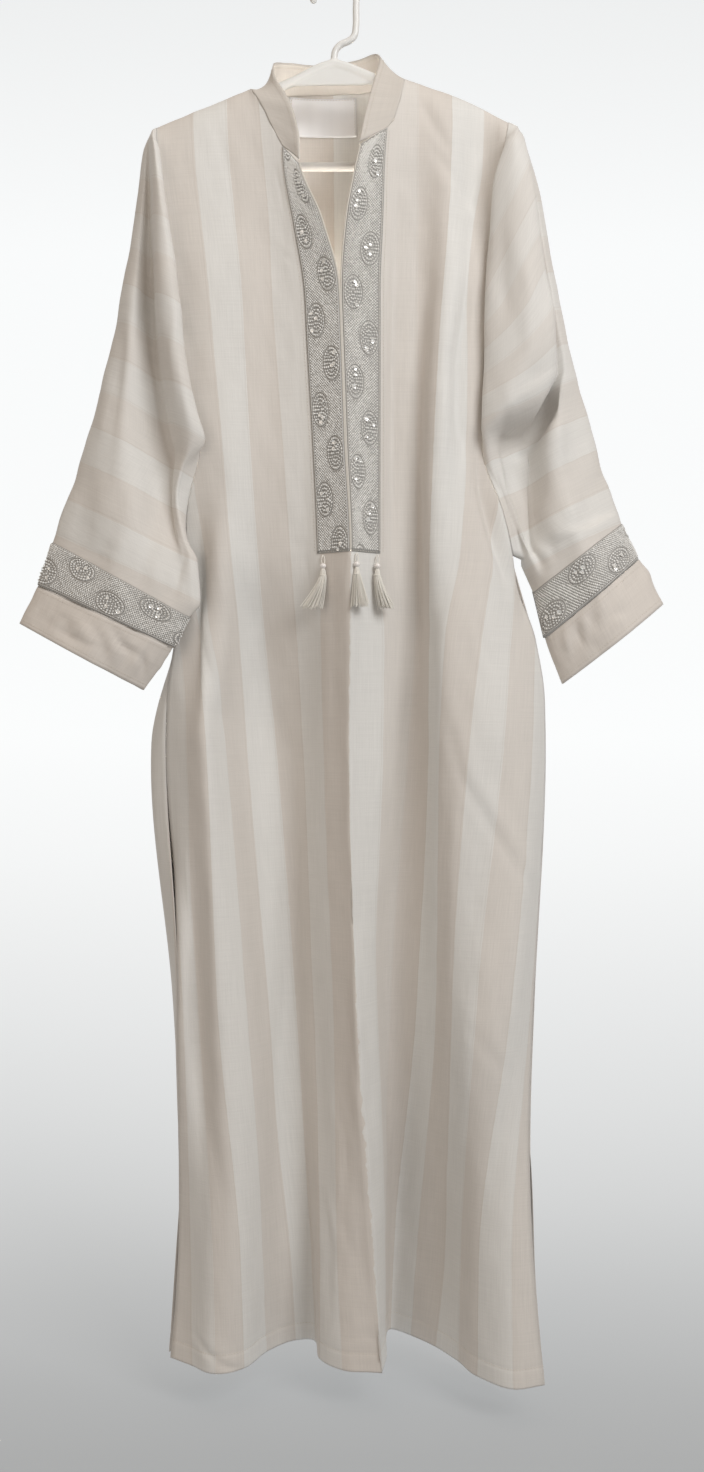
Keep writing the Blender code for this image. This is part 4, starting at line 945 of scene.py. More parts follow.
collar = cloth_piece("collar_band", collar_net,
                     flat_grid(length[-1] * foot_even, COLLAR_HIGH * rise[:, 0, 0]), COLLAR_THICK,
                     woven("collar_cloth", tint=(0.61, 0.571, 0.527, 1.0), crumple=0.5))
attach(collar, "root")
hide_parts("collar")

# The sleeves: wide tubes of the striped cloth with the stripes running round them. They are sewn to
# the edges of the panels low on the shoulder and hang in one deep fold beside the body.
# A row for each ring: "in" and "out" say how far down its two ends are. Then come five lines of the front
# (across, back), the outer edge, the back's depth, and, below the armhole, the seam under the arm.
LEFT_SLEEVE = [
    # in  out   edge       front       crest       groove      face        outer rear seam
    (179, 182, -196, -13, -197, -13, -198, -12, -199, -9, -200, -6, -201, 2),
    (190, 189, -194, -22, -196, -25, -199, -20, -201, -13, -203, -8, -205, 4),
    (205, 200, -189, -26, -193, -32, -198, -24, -202, -12, -205, -10, -209, 6),
    (250, 248, -182, -40, -187, -47, -195, -36, -201, -12, -208, -14, -215, 10),
    (310, 304, -173, -47, -179, -56, -191, -46, -201, -10, -212, -18, -223, 13),
    (375, 367, -164, -50, -172, -60, -187, -48, -199, -8, -217, -24, -234, 17),
    (440, 420, -157, -50, -166, -60, -182, -46, -195, -8, -222, -30, -245, 20),
    (495, 470, -147, -49, -158, -58, -176, -42, -189, -8, -227, -34, -257, 24),
    (524, 505, -138, -46, -152, -54, -171, -38, -184, -8, -230, -37, -267, 26),
    (537, 520, -147, -44, -156, -48, -169, -32, -180, -8, -231, -38, -271, 26),
    (552, 538, -158, -38, -163, -41, -171, -27, -178, -10, -231, -39, -277, 27),
    (583, 565, -166, -32, -169, -36, -173, -28, -178, -18, -231, -41, -285, 28),
    (628, 593, -158, -34, -161, -40, -166, -38, -177, -30, -231, -43, -296, 29),
    (652, 608, -148, -35, -152, -43, -161, -42, -177, -38, -231, -43, -301, 29, -169, -17),
    (698, 623, -146, -35, -150, -43, -160, -45, -180, -44, -231, -43, -306, 27, -179, -15),
    (713, 629, -156, -34, -160, -41, -170, -44, -186, -44, -234, -43, -308, 26, -184, -13),
    (745, 676, -173, -27, -177, -34, -187, -39, -203, -42, -250, -41, -324, 25, -191, -11),
]
RIGHT_SLEEVE = [
    (176, 180, 200, -14, 201, -14, 202, -12, 203, -9, 204, -6, 205, 2),
    (190, 188, 193, -30, 198, -32, 205, -24, 207, -14, 208, -8, 209, 4),
    (205, 200, 186, -40, 196, -44, 207, -34, 209, -16, 211, -11, 213, 6),
    (250, 245, 173, -40, 194, -52, 214, -46, 217, -18, 221, -14, 226, 10),
    (310, 296, 171, -44, 197, -58, 220, -52, 223, -20, 229, -16, 235, 13),
    (380, 345, 167, -48, 200, -62, 228, -56, 230, -20, 237, -18, 243, 17),
    (450, 396, 165, -50, 202, -66, 236, -58, 238, -20, 246, -20, 253, 20),
    (510, 436, 163, -48, 188, -62, 236, -52, 239, -18, 252, -22, 262, 22),
    (517, 447, 165, -44, 188, -50, 226, -36, 230, -2, 248, -27, 265, 23),
    (526, 462, 168, -36, 184, -20, 208, 2, 227, 4, 244, -30, 268, 24),
    (552, 510, 173, -28, 184, -24, 204, 0, 221, 2, 240, -32, 281, 26),
    (595, 560, 188, -24, 198, -27, 210, -4, 219, -4, 243, -35, 299, 28),
    (640, 592, 205, -20, 210, -25, 215, -14, 223, -20, 252, -38, 310, 29),
    (655, 598, 210, -16, 216, -25, 223, -21, 234, -29, 270, -38, 312, 28, 206, -6),
    (683, 609, 221, -9, 225, -16, 234, -24, 248, -31, 276, -38, 315, 26, 219, -4),
    (734, 647, 232, -10, 236, -16, 246, -24, 261, -31, 294, -36, 335, 25, 231, -6),
]
SLEEVE_CREASES = {
    -1: [(((-226, 380), (-233, 444), (-238, 510), (-243, 560)), 9.0, -3.6),
         (((-205, 520), (-216, 590), (-232, 650), (-240, 700)), 10.0, 3.0),
         (((-188, 570), (-196, 630), (-208, 690)), 7.0, -3.0),
         (((-262, 540), (-268, 600), (-284, 655)), 8.0, -2.4),
         (((-200, 300), (-202, 380), (-198, 450)), 9.0, -3.5), (((-244, 470), (-252, 520)), 6.0, 1.6),
         (((-220, 600), (-240, 640), (-262, 655)), 5.0, -1.6),
         (((-165, 380), (-172, 440), (-168, 480)), 5.0, 1.4),
         (((-214, 250), (-219, 330)), 5.0, 1.3), (((-246, 610), (-250, 655)), 4.0, -1.3),
         (((-276, 600), (-290, 640)), 4.0, 1.2), (((-158, 640), (-170, 690)), 5.0, -1.8)],
    1: [(((243, 470), (256, 520), (263, 575)), 8.0, -3.2), (((262, 430), (277, 500), (290, 560)), 9.0, 2.6),
        (((286, 500), (297, 556), (302, 600)), 7.0, -2.2),
        (((184, 505), (193, 550), (200, 590), (208, 635)), 9.0, -10.0),
        (((183, 250), (181, 330), (184, 420)), 7.0, -2.0), (((204, 300), (208, 380), (205, 470)), 8.0, 2.0),
        (((222, 320), (228, 400)), 5.0, -1.4), (((245, 600), (262, 622)), 4.0, -1.6),
        (((262, 580), (270, 612)), 4.0, -1.4), (((282, 560), (286, 600)), 4.0, -1.6),
        (((300, 550), (304, 590)), 4.0, 1.2), (((232, 620), (240, 650)), 4.0, -1.4),
        (((250, 250), (262, 330), (272, 400)), 6.0, 1.4),
        (((236, 458), (224, 468), (214, 482), (201, 502), (182, 508)), 5.5, 7.0),
        (((242, 478), (233, 490), (224, 506), (211, 524), (190, 532)), 9.0, -13.0),
        (((268, 560), (275, 600), (280, 640)), 9.0, -3.5), (((250, 560), (256, 600), (262, 640)), 8.0, 2.5)],
}
# The three lines on the back of a ring: how far from the seam to the outer edge, and how deep.
REAR_AT, REAR_DEEP = np.array([0.72, 0.4, 0.12]), np.array([0.85, 1.0, 0.45])
SLEEVE_ROUND = np.linspace(0, 10, 81)
SLEEVE_END = {-1: 745.0, 1: 734.0}
STRIPE_SLOPE = {-1: (0.47, 0.47), 1: (0.5, 1.6)}       # of the sleeve's stripes: outer face, inner face
SLEEVE_STRIPES = (0.2, 0.6, 0.3, 0.65, 0.2, 0.6, 0.2, 0.65, 0.15, 0.7, 0.15, 0.75, 0.05, 0.85, 0.1, 0.8, 0.1,
                  0.8)
STRIPE_SHIFT = {-1: 18.0, 1: 28.0}                     # how far down a sleeve its first stripe begins


RING_COLUMNS = 14                        # of a row, without the seam
SEAM_HALF = 0.4                          # half the gap at the seam under the arm


def sleeve_ring(row, seam_front, seam_rear):
    """The lines of one ring: seam, five on the front, outer edge, three on the back, seam."""
    in_down, out_down, *lines, outer, rear = row
    line_x = np.array(lines[0::2] + [outer])
    line_y = np.array(lines[1::2] + [0.0])
    share = (line_x - line_x[0]) / (outer - line_x[0])
    front_lines = np.stack([line_x, line_y, -(in_down + share * (out_down - in_down))], axis=-1)
    behind = np.stack([seam_rear[0] + REAR_AT * (outer - seam_rear[0]),
                       seam_rear[1] * (1 - REAR_AT) + rear * REAR_DEEP,
                       -(in_down + REAR_AT * (out_down - in_down))], axis=-1)
    return np.vstack([seam_front, front_lines, behind, seam_rear])


def sleeve_net(rows, levels, seams):
    """Rings at the given levels, read from a table of rings and closed or sewn at the seams."""
    ring_levels = [row[0] for row in rows]
    closed = np.array([row for row in rows if len(row) > RING_COLUMNS])
    net = []
    for i, level in enumerate(levels):
        values = [smooth(ring_levels, [row[k] for row in rows], [level], steady=True)[0]
                  for k in range(RING_COLUMNS)]
        if i < len(seams):
            seam_front, seam_rear = seams[i]
        else:
            across, back = (np.interp(level, closed[:, 0], closed[:, k]) for k in (-2, -1))
            seam_front, seam_rear = ((across, back + half, -level) for half in (-SEAM_HALF, SEAM_HALF))
        ring = sleeve_ring(values, seam_front, seam_rear)
        at = np.arange(len(ring))
        net.append(np.stack([smooth(at, ring[:, axis], SLEEVE_ROUND) for axis in range(3)], -1))
    return np.array(net)


def sleeve_flat(side, net):
    """The flat cloth of a sleeve: distance round each ring, and distance along with the stripes' slope."""
    round_way = np.concatenate([np.zeros((len(net), 1)),
                                np.cumsum(np.linalg.norm(np.diff(net, axis=1), axis=2), axis=1)], axis=1)
    face, inner = STRIPE_SLOPE[side]
    out = np.abs(net[..., 0])
    widest = out.max(axis=1, keepdims=True)
    inner_x = np.abs(net[:, 28:29, 0])
    steep = face + (inner - face) * ramp(-net[..., 2], 500, 380)
    off = np.where(out < inner_x, (widest - inner_x) * face + (inner_x - out) * steep, (widest - out) * face)
    return np.stack([round_way, -net[..., 2] - off], -1)


sleeves = {}
count = len(UPPER_ROWS)
for side, name in ((-1, "left"), (1, "right")):
    edge = 0 if side < 0 else -1
    table = LEFT_SLEEVE if side < 0 else RIGHT_SLEEVE
    levels = list(-front_net[1:count, edge, 2])
    seams = [(a + n * FABRIC, b + m * FABRIC) for a, n, b, m in
             zip(*(part[1:count, edge] for part in (front_net, front_normals, rear_net, rear_normals)))]
    levels += list(np.linspace(levels[-1], SLEEVE_END[side], 26)[1:])
    net = sleeve_net(table, levels, seams)
    tip = (front_net[0, edge] + rear_net[0, edge]) / 2
    net = np.concatenate([np.repeat(tip[None, None], net.shape[1], axis=1), net])
    normals = face_forward(net, slice(20, 60), slice(20, 40))
    around = ramp(np.minimum(SLEEVE_ROUND, 10 - SLEEVE_ROUND), 0, 0.7)[None, :]
    begun = ramp(-net[..., 2], 230, 350)
    move = crease(net, SLEEVE_CREASES[side])
    for seed, waves, size in ((40, ((44, -170), (67, 230)), 1.0), (50, ((21, -60), (29, 74)), 0.35)):
        move += ripple(net[..., 0], -net[..., 2], seed + side, waves, size)
    net = net + normals * (around * begun * move)[..., None]
    flat = sleeve_flat(side, net)
    first = float(flat[..., 1].min() + STRIPE_SHIFT[side])
    piece = cloth_piece(f"gown_sleeve_{name}", net, flat, FABRIC,
                        woven(f"sleeve_cloth_{name}", SLEEVE_STRIPES, along=True, first=first))
    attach(piece, "root")
    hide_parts(f"sleeve_{name}_upper", f"sleeve_{name}_lower")
    sleeves[side] = (net, normals, flat)

# The cuff ribbons: the same embroidered ribbon, sewn round the end of each sleeve.
RIBBON_TOP = {-1: 713.0, 1: 683.0}
CUFF_OVAL = 22.0                         # how far round from the seam its first oval is


def read_net(net, rows, columns):
    """Points of a net at fractional rows and columns."""
    i = np.clip(rows.astype(int), 0, net.shape[0] - 2)
    j = np.clip(columns.astype(int), 0, net.shape[1] - 2)
    down, over = (rows - i)[..., None], (columns - j)[..., None]
    return ((net[i, j] * (1 - over) + net[i, j + 1] * over) * (1 - down)
            + (net[i + 1, j] * (1 - over) + net[i + 1, j + 1] * over) * down)


def sleeve_surface(side, lift=0.0):
    """Reads points and directions round a sleeve's end: across the ribbon, and round from the seam."""
    net, normals, _ = sleeves[side]
    in_levels = -net[:, 1, 2]
    first = float(np.interp(RIBBON_TOP[side], in_levels, np.arange(len(net))))
    last = len(net) - 1.05
    middle = net[int((first + last) / 2)]
    round_way = gone_along(middle)

    def read(across, round_at):
        across, round_at = paired(across, round_at)
        rows = first + (last - first) * across / RIBBON_WIDTH
        columns = np.interp(round_at, round_way, np.arange(net.shape[1]))
        away = read_net(normals, rows, columns)
        away = away / np.linalg.norm(away, axis=-1, keepdims=True)
        return read_net(net, rows, columns) + away * lift, away
    return read, round_way[-1]


for side, name in ((-1, "cuff_left"), (1, "cuff_right")):
    whole = sleeve_surface(side)[1]
    across, round_at = paired(np.linspace(0, RIBBON_WIDTH, 13)[:, None], np.linspace(0, whole, 130)[None, :])
    work = ribbon_points(2.0, whole - 2, lambda s, t: 2 < t < whole - 2, 17 + side, CUFF_OVAL)
    ribbon, pieces = lay_ribbon(name, lambda lift: sleeve_surface(side, lift)[0], across, round_at, work,
                                61 + side)
    whole * MM

# The cuffs: plain beige cloth, doubled and turned in at the free edge, that flares on from the ribbon.
CUFF = {
    -1: ((745.6, 676.6, -174, -27, -178, -34, -188, -39, -204, -42, -251, -41, -325, 25, -191, -11),
         (768, 698, -190, -22, -194, -28, -203, -34, -219, -38, -265, -39, -335, 24, -199, -11),
         (791, 718, -207, -17, -211, -22, -220, -28, -236, -33, -278, -37, -345, 23, -209, -12)),
    1: ((734.4, 647.4, 233, -10, 237, -16, 247, -24, 262, -31, 295, -36, 336, 25, 232, -6),
        (760, 672, 242, -9, 246, -15, 257, -23, 274, -30, 307, -35, 349, 24, 241, -6),
        (784, 697, 252, -8, 257, -13, 269, -22, 286, -29, 318, -34, 362, 23, 251, -5)),
}
CUFF_CREASES = {
    -1: [(((-297, 706), (-287, 722), (-290, 736)), 5.0, -4.0),
         (((-240, 718), (-226, 745), (-214, 752)), 4.0, -3.6),
         (((-312, 700), (-300, 716)), 5.0, 2.4), (((-276, 712), (-270, 740)), 5.0, 2.6),
         (((-252, 724), (-246, 756)), 4.0, -2.8), (((-306, 722), (-276, 738), (-250, 748)), 5.0, -1.4),
         (((-262, 722), (-258, 748)), 4.0, 2.2), (((-318, 690), (-308, 722)), 5.0, -2.0),
         (((-232, 735), (-236, 770)), 4.0, 1.8), (((-204, 748), (-206, 780)), 4.0, -2.2),
         (((-188, 760), (-186, 786)), 4.0, 1.6), (((-228, 760), (-212, 752), (-200, 770)), 4.0, -1.5)],
    1: [(((316, 662), (322, 690)), 4.0, -2.9), (((296, 674), (300, 704)), 4.0, -3.0),
        (((275, 692), (282, 724)), 4.0, -2.8), (((260, 706), (270, 746)), 5.0, -3.0),
        (((330, 654), (340, 690)), 5.0, -2.4), (((306, 668), (311, 700)), 4.0, 2.0),
        (((286, 686), (292, 716)), 4.0, 2.2), (((266, 704), (274, 736)), 4.0, 1.8),
        (((338, 648), (348, 672)), 4.0, 2.0), (((322, 668), (330, 700)), 4.0, -2.2),
        (((250, 716), (256, 752)), 4.0, 1.8), (((290, 716), (322, 704)), 5.0, -1.2)],
}
CUFF_LONG, CUFF_ROWS, CUFF_THICK = 48, 18, 1.2
cuffs = {}
plain_cloth = woven("plain_cloth", tint=(0.67, 0.622, 0.575, 1.0), crumple=0.9)
for side, name in ((-1, "left"), (1, "right")):
    rings = CUFF[side]
    net = sleeve_net(rings, np.linspace(rings[0][0] - 3, rings[-1][0], CUFF_ROWS), [])
    normals = face_forward(net, slice(3, 12), slice(20, 40))
    row = np.arange(CUFF_ROWS)[:, None]
    move = crease(net, CUFF_CREASES[side]) * ramp(row, 0, 6)
    move += ramp(row, 0, 6) * ripple(net[..., 0], -net[..., 2], 70 + side, ((27, -60), (40, 51)), 0.5)
    net = net + normals * (move - ramp(row, 4, 0) * 0.5)[..., None]
    flat = flat_grid(gone_along(net[CUFF_ROWS // 2]), np.linspace(0, CUFF_LONG, CUFF_ROWS))
    piece = cloth_piece(f"cuff_band_{name}", net, flat, CUFF_THICK, plain_cloth)
    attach(piece, "root")
    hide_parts(f"cuff_{name}")
    cuffs[side] = (net, normals)

# The sewing: rows of short stitches in cream cotton hold the turned hems, the free edges of the collar
# and cuffs, the outer edges of the ribbons and the label.
STITCH, STITCH_STEP = 1.25, 3.3          # half the length of a stitch, and the distance between two
# Sews along lines: a short stitch at every step of the way.
sewn, make, given = group_tree("sewn", {"Shape": 'NodeSocketObject', "Step": 'NodeSocketFloat',
                                        "Size": 'NodeSocketFloat', "Finish": 'NodeSocketMaterial'})
line = make('GeometryNodeMeshToCurve', (), {0: given['Geometry']})[0]
line = make('GeometryNodeResampleCurve', {'mode': 'LENGTH'}, {0: line, 3: given['Step']})[0]
tangent = make('GeometryNodeInputTangent')[0]
turn = make('FunctionNodeAlignRotationToVector', {'axis': 'X'}, {'Vector': tangent})[0]
shape = make('GeometryNodeObjectInfo', (), {'Object': given['Shape']})['Geometry']
placed = make('GeometryNodeInstanceOnPoints', (), {'Points': line, 'Instance': shape, 'Rotation': turn,
                                                   'Scale': given['Size']})[0]
finish_tree(make, placed, given['Finish'])


def stitch_shape(shape):
    """A short thread that dips at both ends."""
    bmesh.ops.create_icosphere(shape, subdivisions=1, radius=1.0)
    for vertex in shape.verts:
        vertex.co.y *= 0.28
        vertex.co.z *= 0.24


stitch_unit = unit_shape("stitch_unit", stitch_shape)
cotton = thread_finish("cotton_thread", (0.62, 0.57, 0.50), 0.6)


def level_line(net, normals, low, up, lift):
    """The line on a panel that runs a fixed distance above its lower edge."""
    at, away = (np.array([[np.interp(up, low[::-1, j], part[::-1, j, k]) for k in range(3)]
                          for j in range(net.shape[1])]) for part in (net, normals))
    return at + away * lift


def sew(name, rows):
    """Stitches along one or more lines of points, kept with the node that they hold."""
    vertices, lines = [], []
    for row in rows:
        lines += links(len(vertices), len(row))
        vertices += list(row)
    piece = repeat(f"stitches_{name}", sewn, vertices, lines, shape=stitch_unit, step=STITCH_STEP * MM,
                   size=STITCH * MM, finish=cotton)
    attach(piece, "root")


sew("hem_front", [level_line(front_net, front_normals, front_low, HEM_STITCH, FABRIC / 2)])
sew("hem_back", [level_line(rear_net, rear_normals, rear_low, HEM_STITCH, FABRIC / 2)])
around = np.linspace(1, 118, 236)
row = np.full(len(around), 11.0)
for name, lift in (("inside", -0.95), ("outside", 0.95)):
    sew(f"collar_{name}", [read_net(collar_net, row, around) + read_net(bow, row, around) * lift])
for side, name in ((-1, "left"), (1, "right")):
    surface = ribbon_surface(side, ON_RIBBON)
    down = np.arange(front_top(side, RIBBON_WIDTH) + 4, SLIT_END - 1, 3.0)
    across = np.arange(2.0, RIBBON_WIDTH - 1, 3.0)
    sew(f"ribbon_{name}",
        [surface(np.full(len(down), RIBBON_WIDTH - 0.8), down)[0],
         ribbon_surface(side, FABRIC / 2 + 0.1)(np.full(len(down), RIBBON_WIDTH + 3.6), down)[0],
         surface(across, np.full(len(across), SLIT_END - 1.2))[0]])
    net, normals = cuffs[side]
    around = np.linspace(1, net.shape[1] - 2, 160)
    rows = [np.full(len(around), row) for row in (2.6, 15.2)]
    sew(f"cuff_{name}",
        [read_net(net, row, around) + read_net(normals, row, around) * 0.68 for row in rows])
corner = np.array([(LABEL_LEFT + 1.5, LABEL_BOTTOM - 2), (LABEL_LEFT + 1.5, LABEL_TOP + 1.5),
                   (LABEL_RIGHT - 1.5, LABEL_TOP + 1.5), (LABEL_RIGHT - 1.5, LABEL_BOTTOM - 2)])
walk = np.vstack([np.linspace(a, b, 14)[:-1] for a, b in zip(corner[:-1], corner[1:])])
at = read_net(label_net, (walk[:, 1] - LABEL_TOP) / (LABEL_BOTTOM - LABEL_TOP) * 15,
              (walk[:, 0] - LABEL_LEFT) / (LABEL_RIGHT - LABEL_LEFT) * 24)
sew("label", [at + (0, -0.4, 0)])

# The tassels: each hangs by a loop of cord from the ribbons' lower end, through a pearly bead, and is a
# bundle of off-white threads tied off in a small head.
TASSELS = {
    # name: side of the slit, distance from it along the ribbon's end, lean and spread of the skirt
    "left": (-1, 33.0, -12.0, 3.3),
    "middle": (1, 6.0, 3.0, 2.7),
    "right": (1, 38.0, 9.0, 2.5),
}
KNOT_SIZE, HEAD, BEAD = 2.1, 3.6, 3.5    # radii
BEAD_FLAT = 0.82         # a bead's height, as a share of its width
BEAD_DOWN, HEAD_DOWN, HEAD_LONG, SKIRT_LONG, STAND_OFF = 12.0, 15.0, 8.0, 33.0, 2.2
THREADS, THREAD = 100, 0.33              # how many are in one tassel, and the radius of each
TIE, NECK = 0.3, 0.36    # shares of a thread: where it is tied, and where the skirt begins
TIE_TURNS = 3
GOLDEN_TURN = 2.399963   # the angle from one thread to the next
tassel_thread = thread_finish("tassel_thread", (0.82, 0.79, 0.73), 0.5)
pearl = Finish("pearly_bead", roughness=0.2, coat_weight=0.6)
glow = pearl.noise(pearl.own_place(), 300.0)
pearl.set('Base Color', pearl.mix(glow, (0.80, 0.74, 0.72, 1.0), (0.86, 0.84, 0.80, 1.0)))
for name, (side, out, lean, spread) in TASSELS.items():
    here, beside, below = front_points(side, [out, out + 1, out], [SLIT_END, SLIT_END, SLIT_END - 1])
    outward = np.cross(beside - here, below - here)
    outward *= -math.copysign(1, outward[1]) / np.linalg.norm(outward)
    root = here + outward * (FABRIC / 2 + KNOT_SIZE + 0.6)
    down = SLIT_END + KNOT_SIZE
    vertices, lines, sizes = [], [], []

    def lay_thread(points, thick):
        lines.extend(links(len(vertices), len(points)))
        vertices.extend(points)
        sizes.extend(np.broadcast_to(thick, len(points)))

    rng = np.random.default_rng(90 + int(out))
    step = np.linspace(0, 1, 9)[:, None]
    hang = np.array([root[0], root[1], -down])
    bead_at = hang + (0, -STAND_OFF, -BEAD_DOWN)
    for offset in (-0.9, 0.9):
        sag = np.sin(math.pi * step) * (offset * 1.6, 0, 0)
        lay_thread(hang + (bead_at - hang) * step + sag + (offset * 0.3, 0, 0), 1.6)
    head_top = bead_at + (0, 0, -(HEAD_DOWN - BEAD_DOWN))
    for i in range(THREADS):
        turn = GOLDEN_TURN * i
        reach = math.sqrt((i + 0.5) / THREADS)
        ring_x, ring_y = math.cos(turn) * reach, math.sin(turn) * reach
        long = SKIRT_LONG + rng.normal(0, 1.3)
        drift = rng.normal(0, 0.7, 2)
        points = []
        for part in (0.0, 0.12, TIE, NECK, 0.5, 0.66, 0.83, 1.0):
            if part <= NECK:
                drop, shift = part / NECK * HEAD_LONG, 0.0
                wide = HEAD * (0.35 + 0.65 * math.sin(math.pi * (part / NECK) * 0.55))
                wide *= 0.8 if part == TIE else 1.0
            else:
                flow = (part - NECK) / (1 - NECK)
                drop, shift = HEAD_LONG + flow * long, lean * flow ** 1.3
                wide = HEAD * (1.0 + (spread - 1) * flow ** 1.2)
            points.append(head_top + (ring_x * wide + shift + drift[0] * part,
                                      ring_y * wide * 0.7 + drift[1] * part, -drop))
        lay_thread(points, 1.0 if i % 3 else 1.25)
    band = [head_top + (HEAD * 0.98 * math.cos(a), HEAD * 0.85 * math.sin(a),
                        -HEAD_LONG * 0.84 - 0.35 * a / 6.28)
            for a in np.linspace(0, TIE_TURNS * 2 * math.pi, 50)]
    lay_thread(band, 1.1)
    tassel = repeat(f"tassel_threads_{name}", threaded, vertices, lines, sizes=sizes, radius=THREAD * MM,
                    sides=4, finish=tassel_thread)
    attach(tassel, "root")
    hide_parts(f"tassel_{name}")
    shape = bmesh.new()
    bmesh.ops.create_uvsphere(shape, u_segments=24, v_segments=14, radius=BEAD * MM)
    for vertex in shape.verts:
        vertex.co.z *= BEAD_FLAT
        vertex.co += Vector(bead_at * MM)
    bead = show(f"pearl_{name}", plain_mesh(f"pearl_{name}", shape))
    bead.data.shade_smooth()
    bead.data.materials.append(pearl.material)
    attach(bead, "root")
    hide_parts(f"bead_{name}")

# The hanger: one white plastic moulding. The hook's rod bends into the stem, which runs into two round
# arms with a flat web between them; a trouser bar joins their rounded ends below.
ROD, TUBE = 3.85, 5.0
HOOK_RADIUS = 24.75
HOOK_CENTRE = HOOK_RADIUS - ROD
END_CENTRE = {-1: -176.0, 1: 183.0}
END_DOWN, END_WIDE, END_ABOVE, END_BELOW = 195.6, 11.0, 17.5, 20.0
VOXEL = 1.1


def rounded_end(side, start, end, number):
    """Points (across, down) of a rounded end, from -90 at its underside to 90 at its top."""
    points = []
    for angle in np.radians(np.linspace(start, end, number)):
        high = END_ABOVE if angle > 0 else END_BELOW
        points.append((END_CENTRE[side] + side * END_WIDE * math.cos(angle),
                       END_DOWN - high * math.sin(angle)))
    return points


def rod(shape, path, radius, sides=28):
    """Adds a round rod along a path of (across, down) in the plane of the hanger, with round ends."""
    path = np.array(path, float)
    gone = gone_along(path)
    even = np.linspace(0, gone[-1], int(gone[-1] / 2.5) + 2)
    path = np.stack([smooth(gone, path[:, k], even) for k in (0, 1)], -1)
    way = np.gradient(path, axis=0)
    way /= np.linalg.norm(way, axis=1, keepdims=True)
    loops = []
    caps = [(-0.94, 0.34), (-0.7, 0.71), (-0.34, 0.94)]
    stations = [(path[0] + way[0] * radius * a, way[0], radius * b) for a, b in caps]
    stations += [(p, w, radius) for p, w in zip(path, way)]
    stations += [(path[-1] - way[-1] * radius * a, way[-1], radius * b) for a, b in caps[::-1]]
    for (x, low), (dx, dlow), wide in stations:
        loop = []
        for angle in np.linspace(0, 2 * math.pi, sides, endpoint=False):
            off = wide * math.cos(angle)
            place = Vector((x + dlow * off, wide * math.sin(angle), -(low - dx * off)))
            loop.append(shape.verts.new(place * MM))
        loops.append(loop)
    for one, two in zip(loops[:-1], loops[1:]):
        for i in range(sides):
            shape.faces.new((one[i], two[i], two[(i + 1) % sides], one[(i + 1) % sides]))
    shape.faces.new(loops[0])
    shape.faces.new(loops[-1][::-1])


angles = np.radians(np.linspace(208, 0, 17))
hook = [(HOOK_RADIUS * math.cos(a), HOOK_CENTRE - HOOK_RADIUS * math.sin(a)) for a in angles]
hook += [(24.75, 45), (24.6, 62), (22.5, 72), (16, 77.5), (8, 81), (2.5, 87), (0.8, 94), (0.5, 101)]
arms = rounded_end(-1, -28, 68, 6)
arms += [(-158, 167.2), (-123, 154), (-88.5, 140.3), (-44, 121.6), (-8, 104.3), (0.5, 102.2), (9, 104),
         (40, 115.9), (80, 131), (108, 141), (145, 155.5)]
arms += rounded_end(1, 68, -28, 6)
shape = bmesh.new()
rod(shape, arms, TUBE)
rod(shape, hook, ROD)
web = [[shape.verts.new(Vector((x, y, -low)) * MM) for x, low in ((0.5, 102), (-57, 127), (57, 125))]
       for y in (-2, 2)]
shape.faces.new(web[0])
shape.faces.new(web[1][::-1])
for i in range(3):
    shape.faces.new((web[0][i], web[1][i], web[1][(i + 1) % 3], web[0][(i + 1) % 3]))
bar_shape = bmesh.new()
bar_down = END_DOWN + END_BELOW
rod(bar_shape, rounded_end(-1, -35, -85, 4) + [(x, bar_down) for x in np.linspace(-172, 178, 15)]
    + rounded_end(1, -85, -35, 4), TUBE)


def moulded(name, dark, pale, gloss):
    """White plastic from a mould: faint flow marks and a fine grain under a soft shine."""
    finish = Finish(name, specular_ior_level=0.5 * gloss, coat_weight=0.15 * gloss)
    place = finish.own_place()
    flow = finish.noise(place, 18.0, 3.0)
    finish.set('Base Color', finish.mix(flow, dark, pale))
    finish.set('Roughness', 0.28 + flow * 0.14 + (1 - gloss) * 0.3)
    finish.set('Normal', finish.bump(finish.noise(place, 900.0) + flow, 0.12, 0.4))
    return finish.material


white_plastic = moulded("white_plastic", (0.74, 0.74, 0.72, 1.0), (0.82, 0.82, 0.81, 1.0), 1.0)
# The trouser bar is the same white plastic as the hanger; its darker colour is painted shade, for where it
# hangs in the shadow inside the neck.
bar_plastic = moulded("bar_plastic", (0.50, 0.48, 0.455, 1.0), (0.56, 0.54, 0.51, 1.0), 0.2)
for name, made, node, finish in (("hanger_moulding", shape, "hanger", white_plastic),
                                 ("trouser_bar", bar_shape, "hanger_bar", bar_plastic)):
    bmesh.ops.recalc_face_normals(made, faces=made.faces)
    piece = show(name, plain_mesh(name, made))
    fuse = piece.modifiers.new("fuse", 'REMESH')
    fuse.mode, fuse.voxel_size = 'VOXEL', VOXEL * MM
    ease = piece.modifiers.new("ease", 'SMOOTH')
    ease.factor, ease.iterations = 0.5, 6
    settle(piece)
    piece.data.shade_smooth()
    piece.data.materials.clear()
    piece.data.materials.append(finish)
    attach(piece, "root")
    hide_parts(node)

# The studio: a pale sweep of floor and wall that glows by its own emission, with painted shade that darkens
# it towards the front; a large soft light from the right front, a weaker one from the left, and a level
# camera at mid height.
FRAME_HIGH, CAMERA_BACK, CAMERA_HIGH = 1.6192, 1.8, -0.8415
FLOOR, WALL, CURVE_FROM = -1.575, 5.2, 2.4
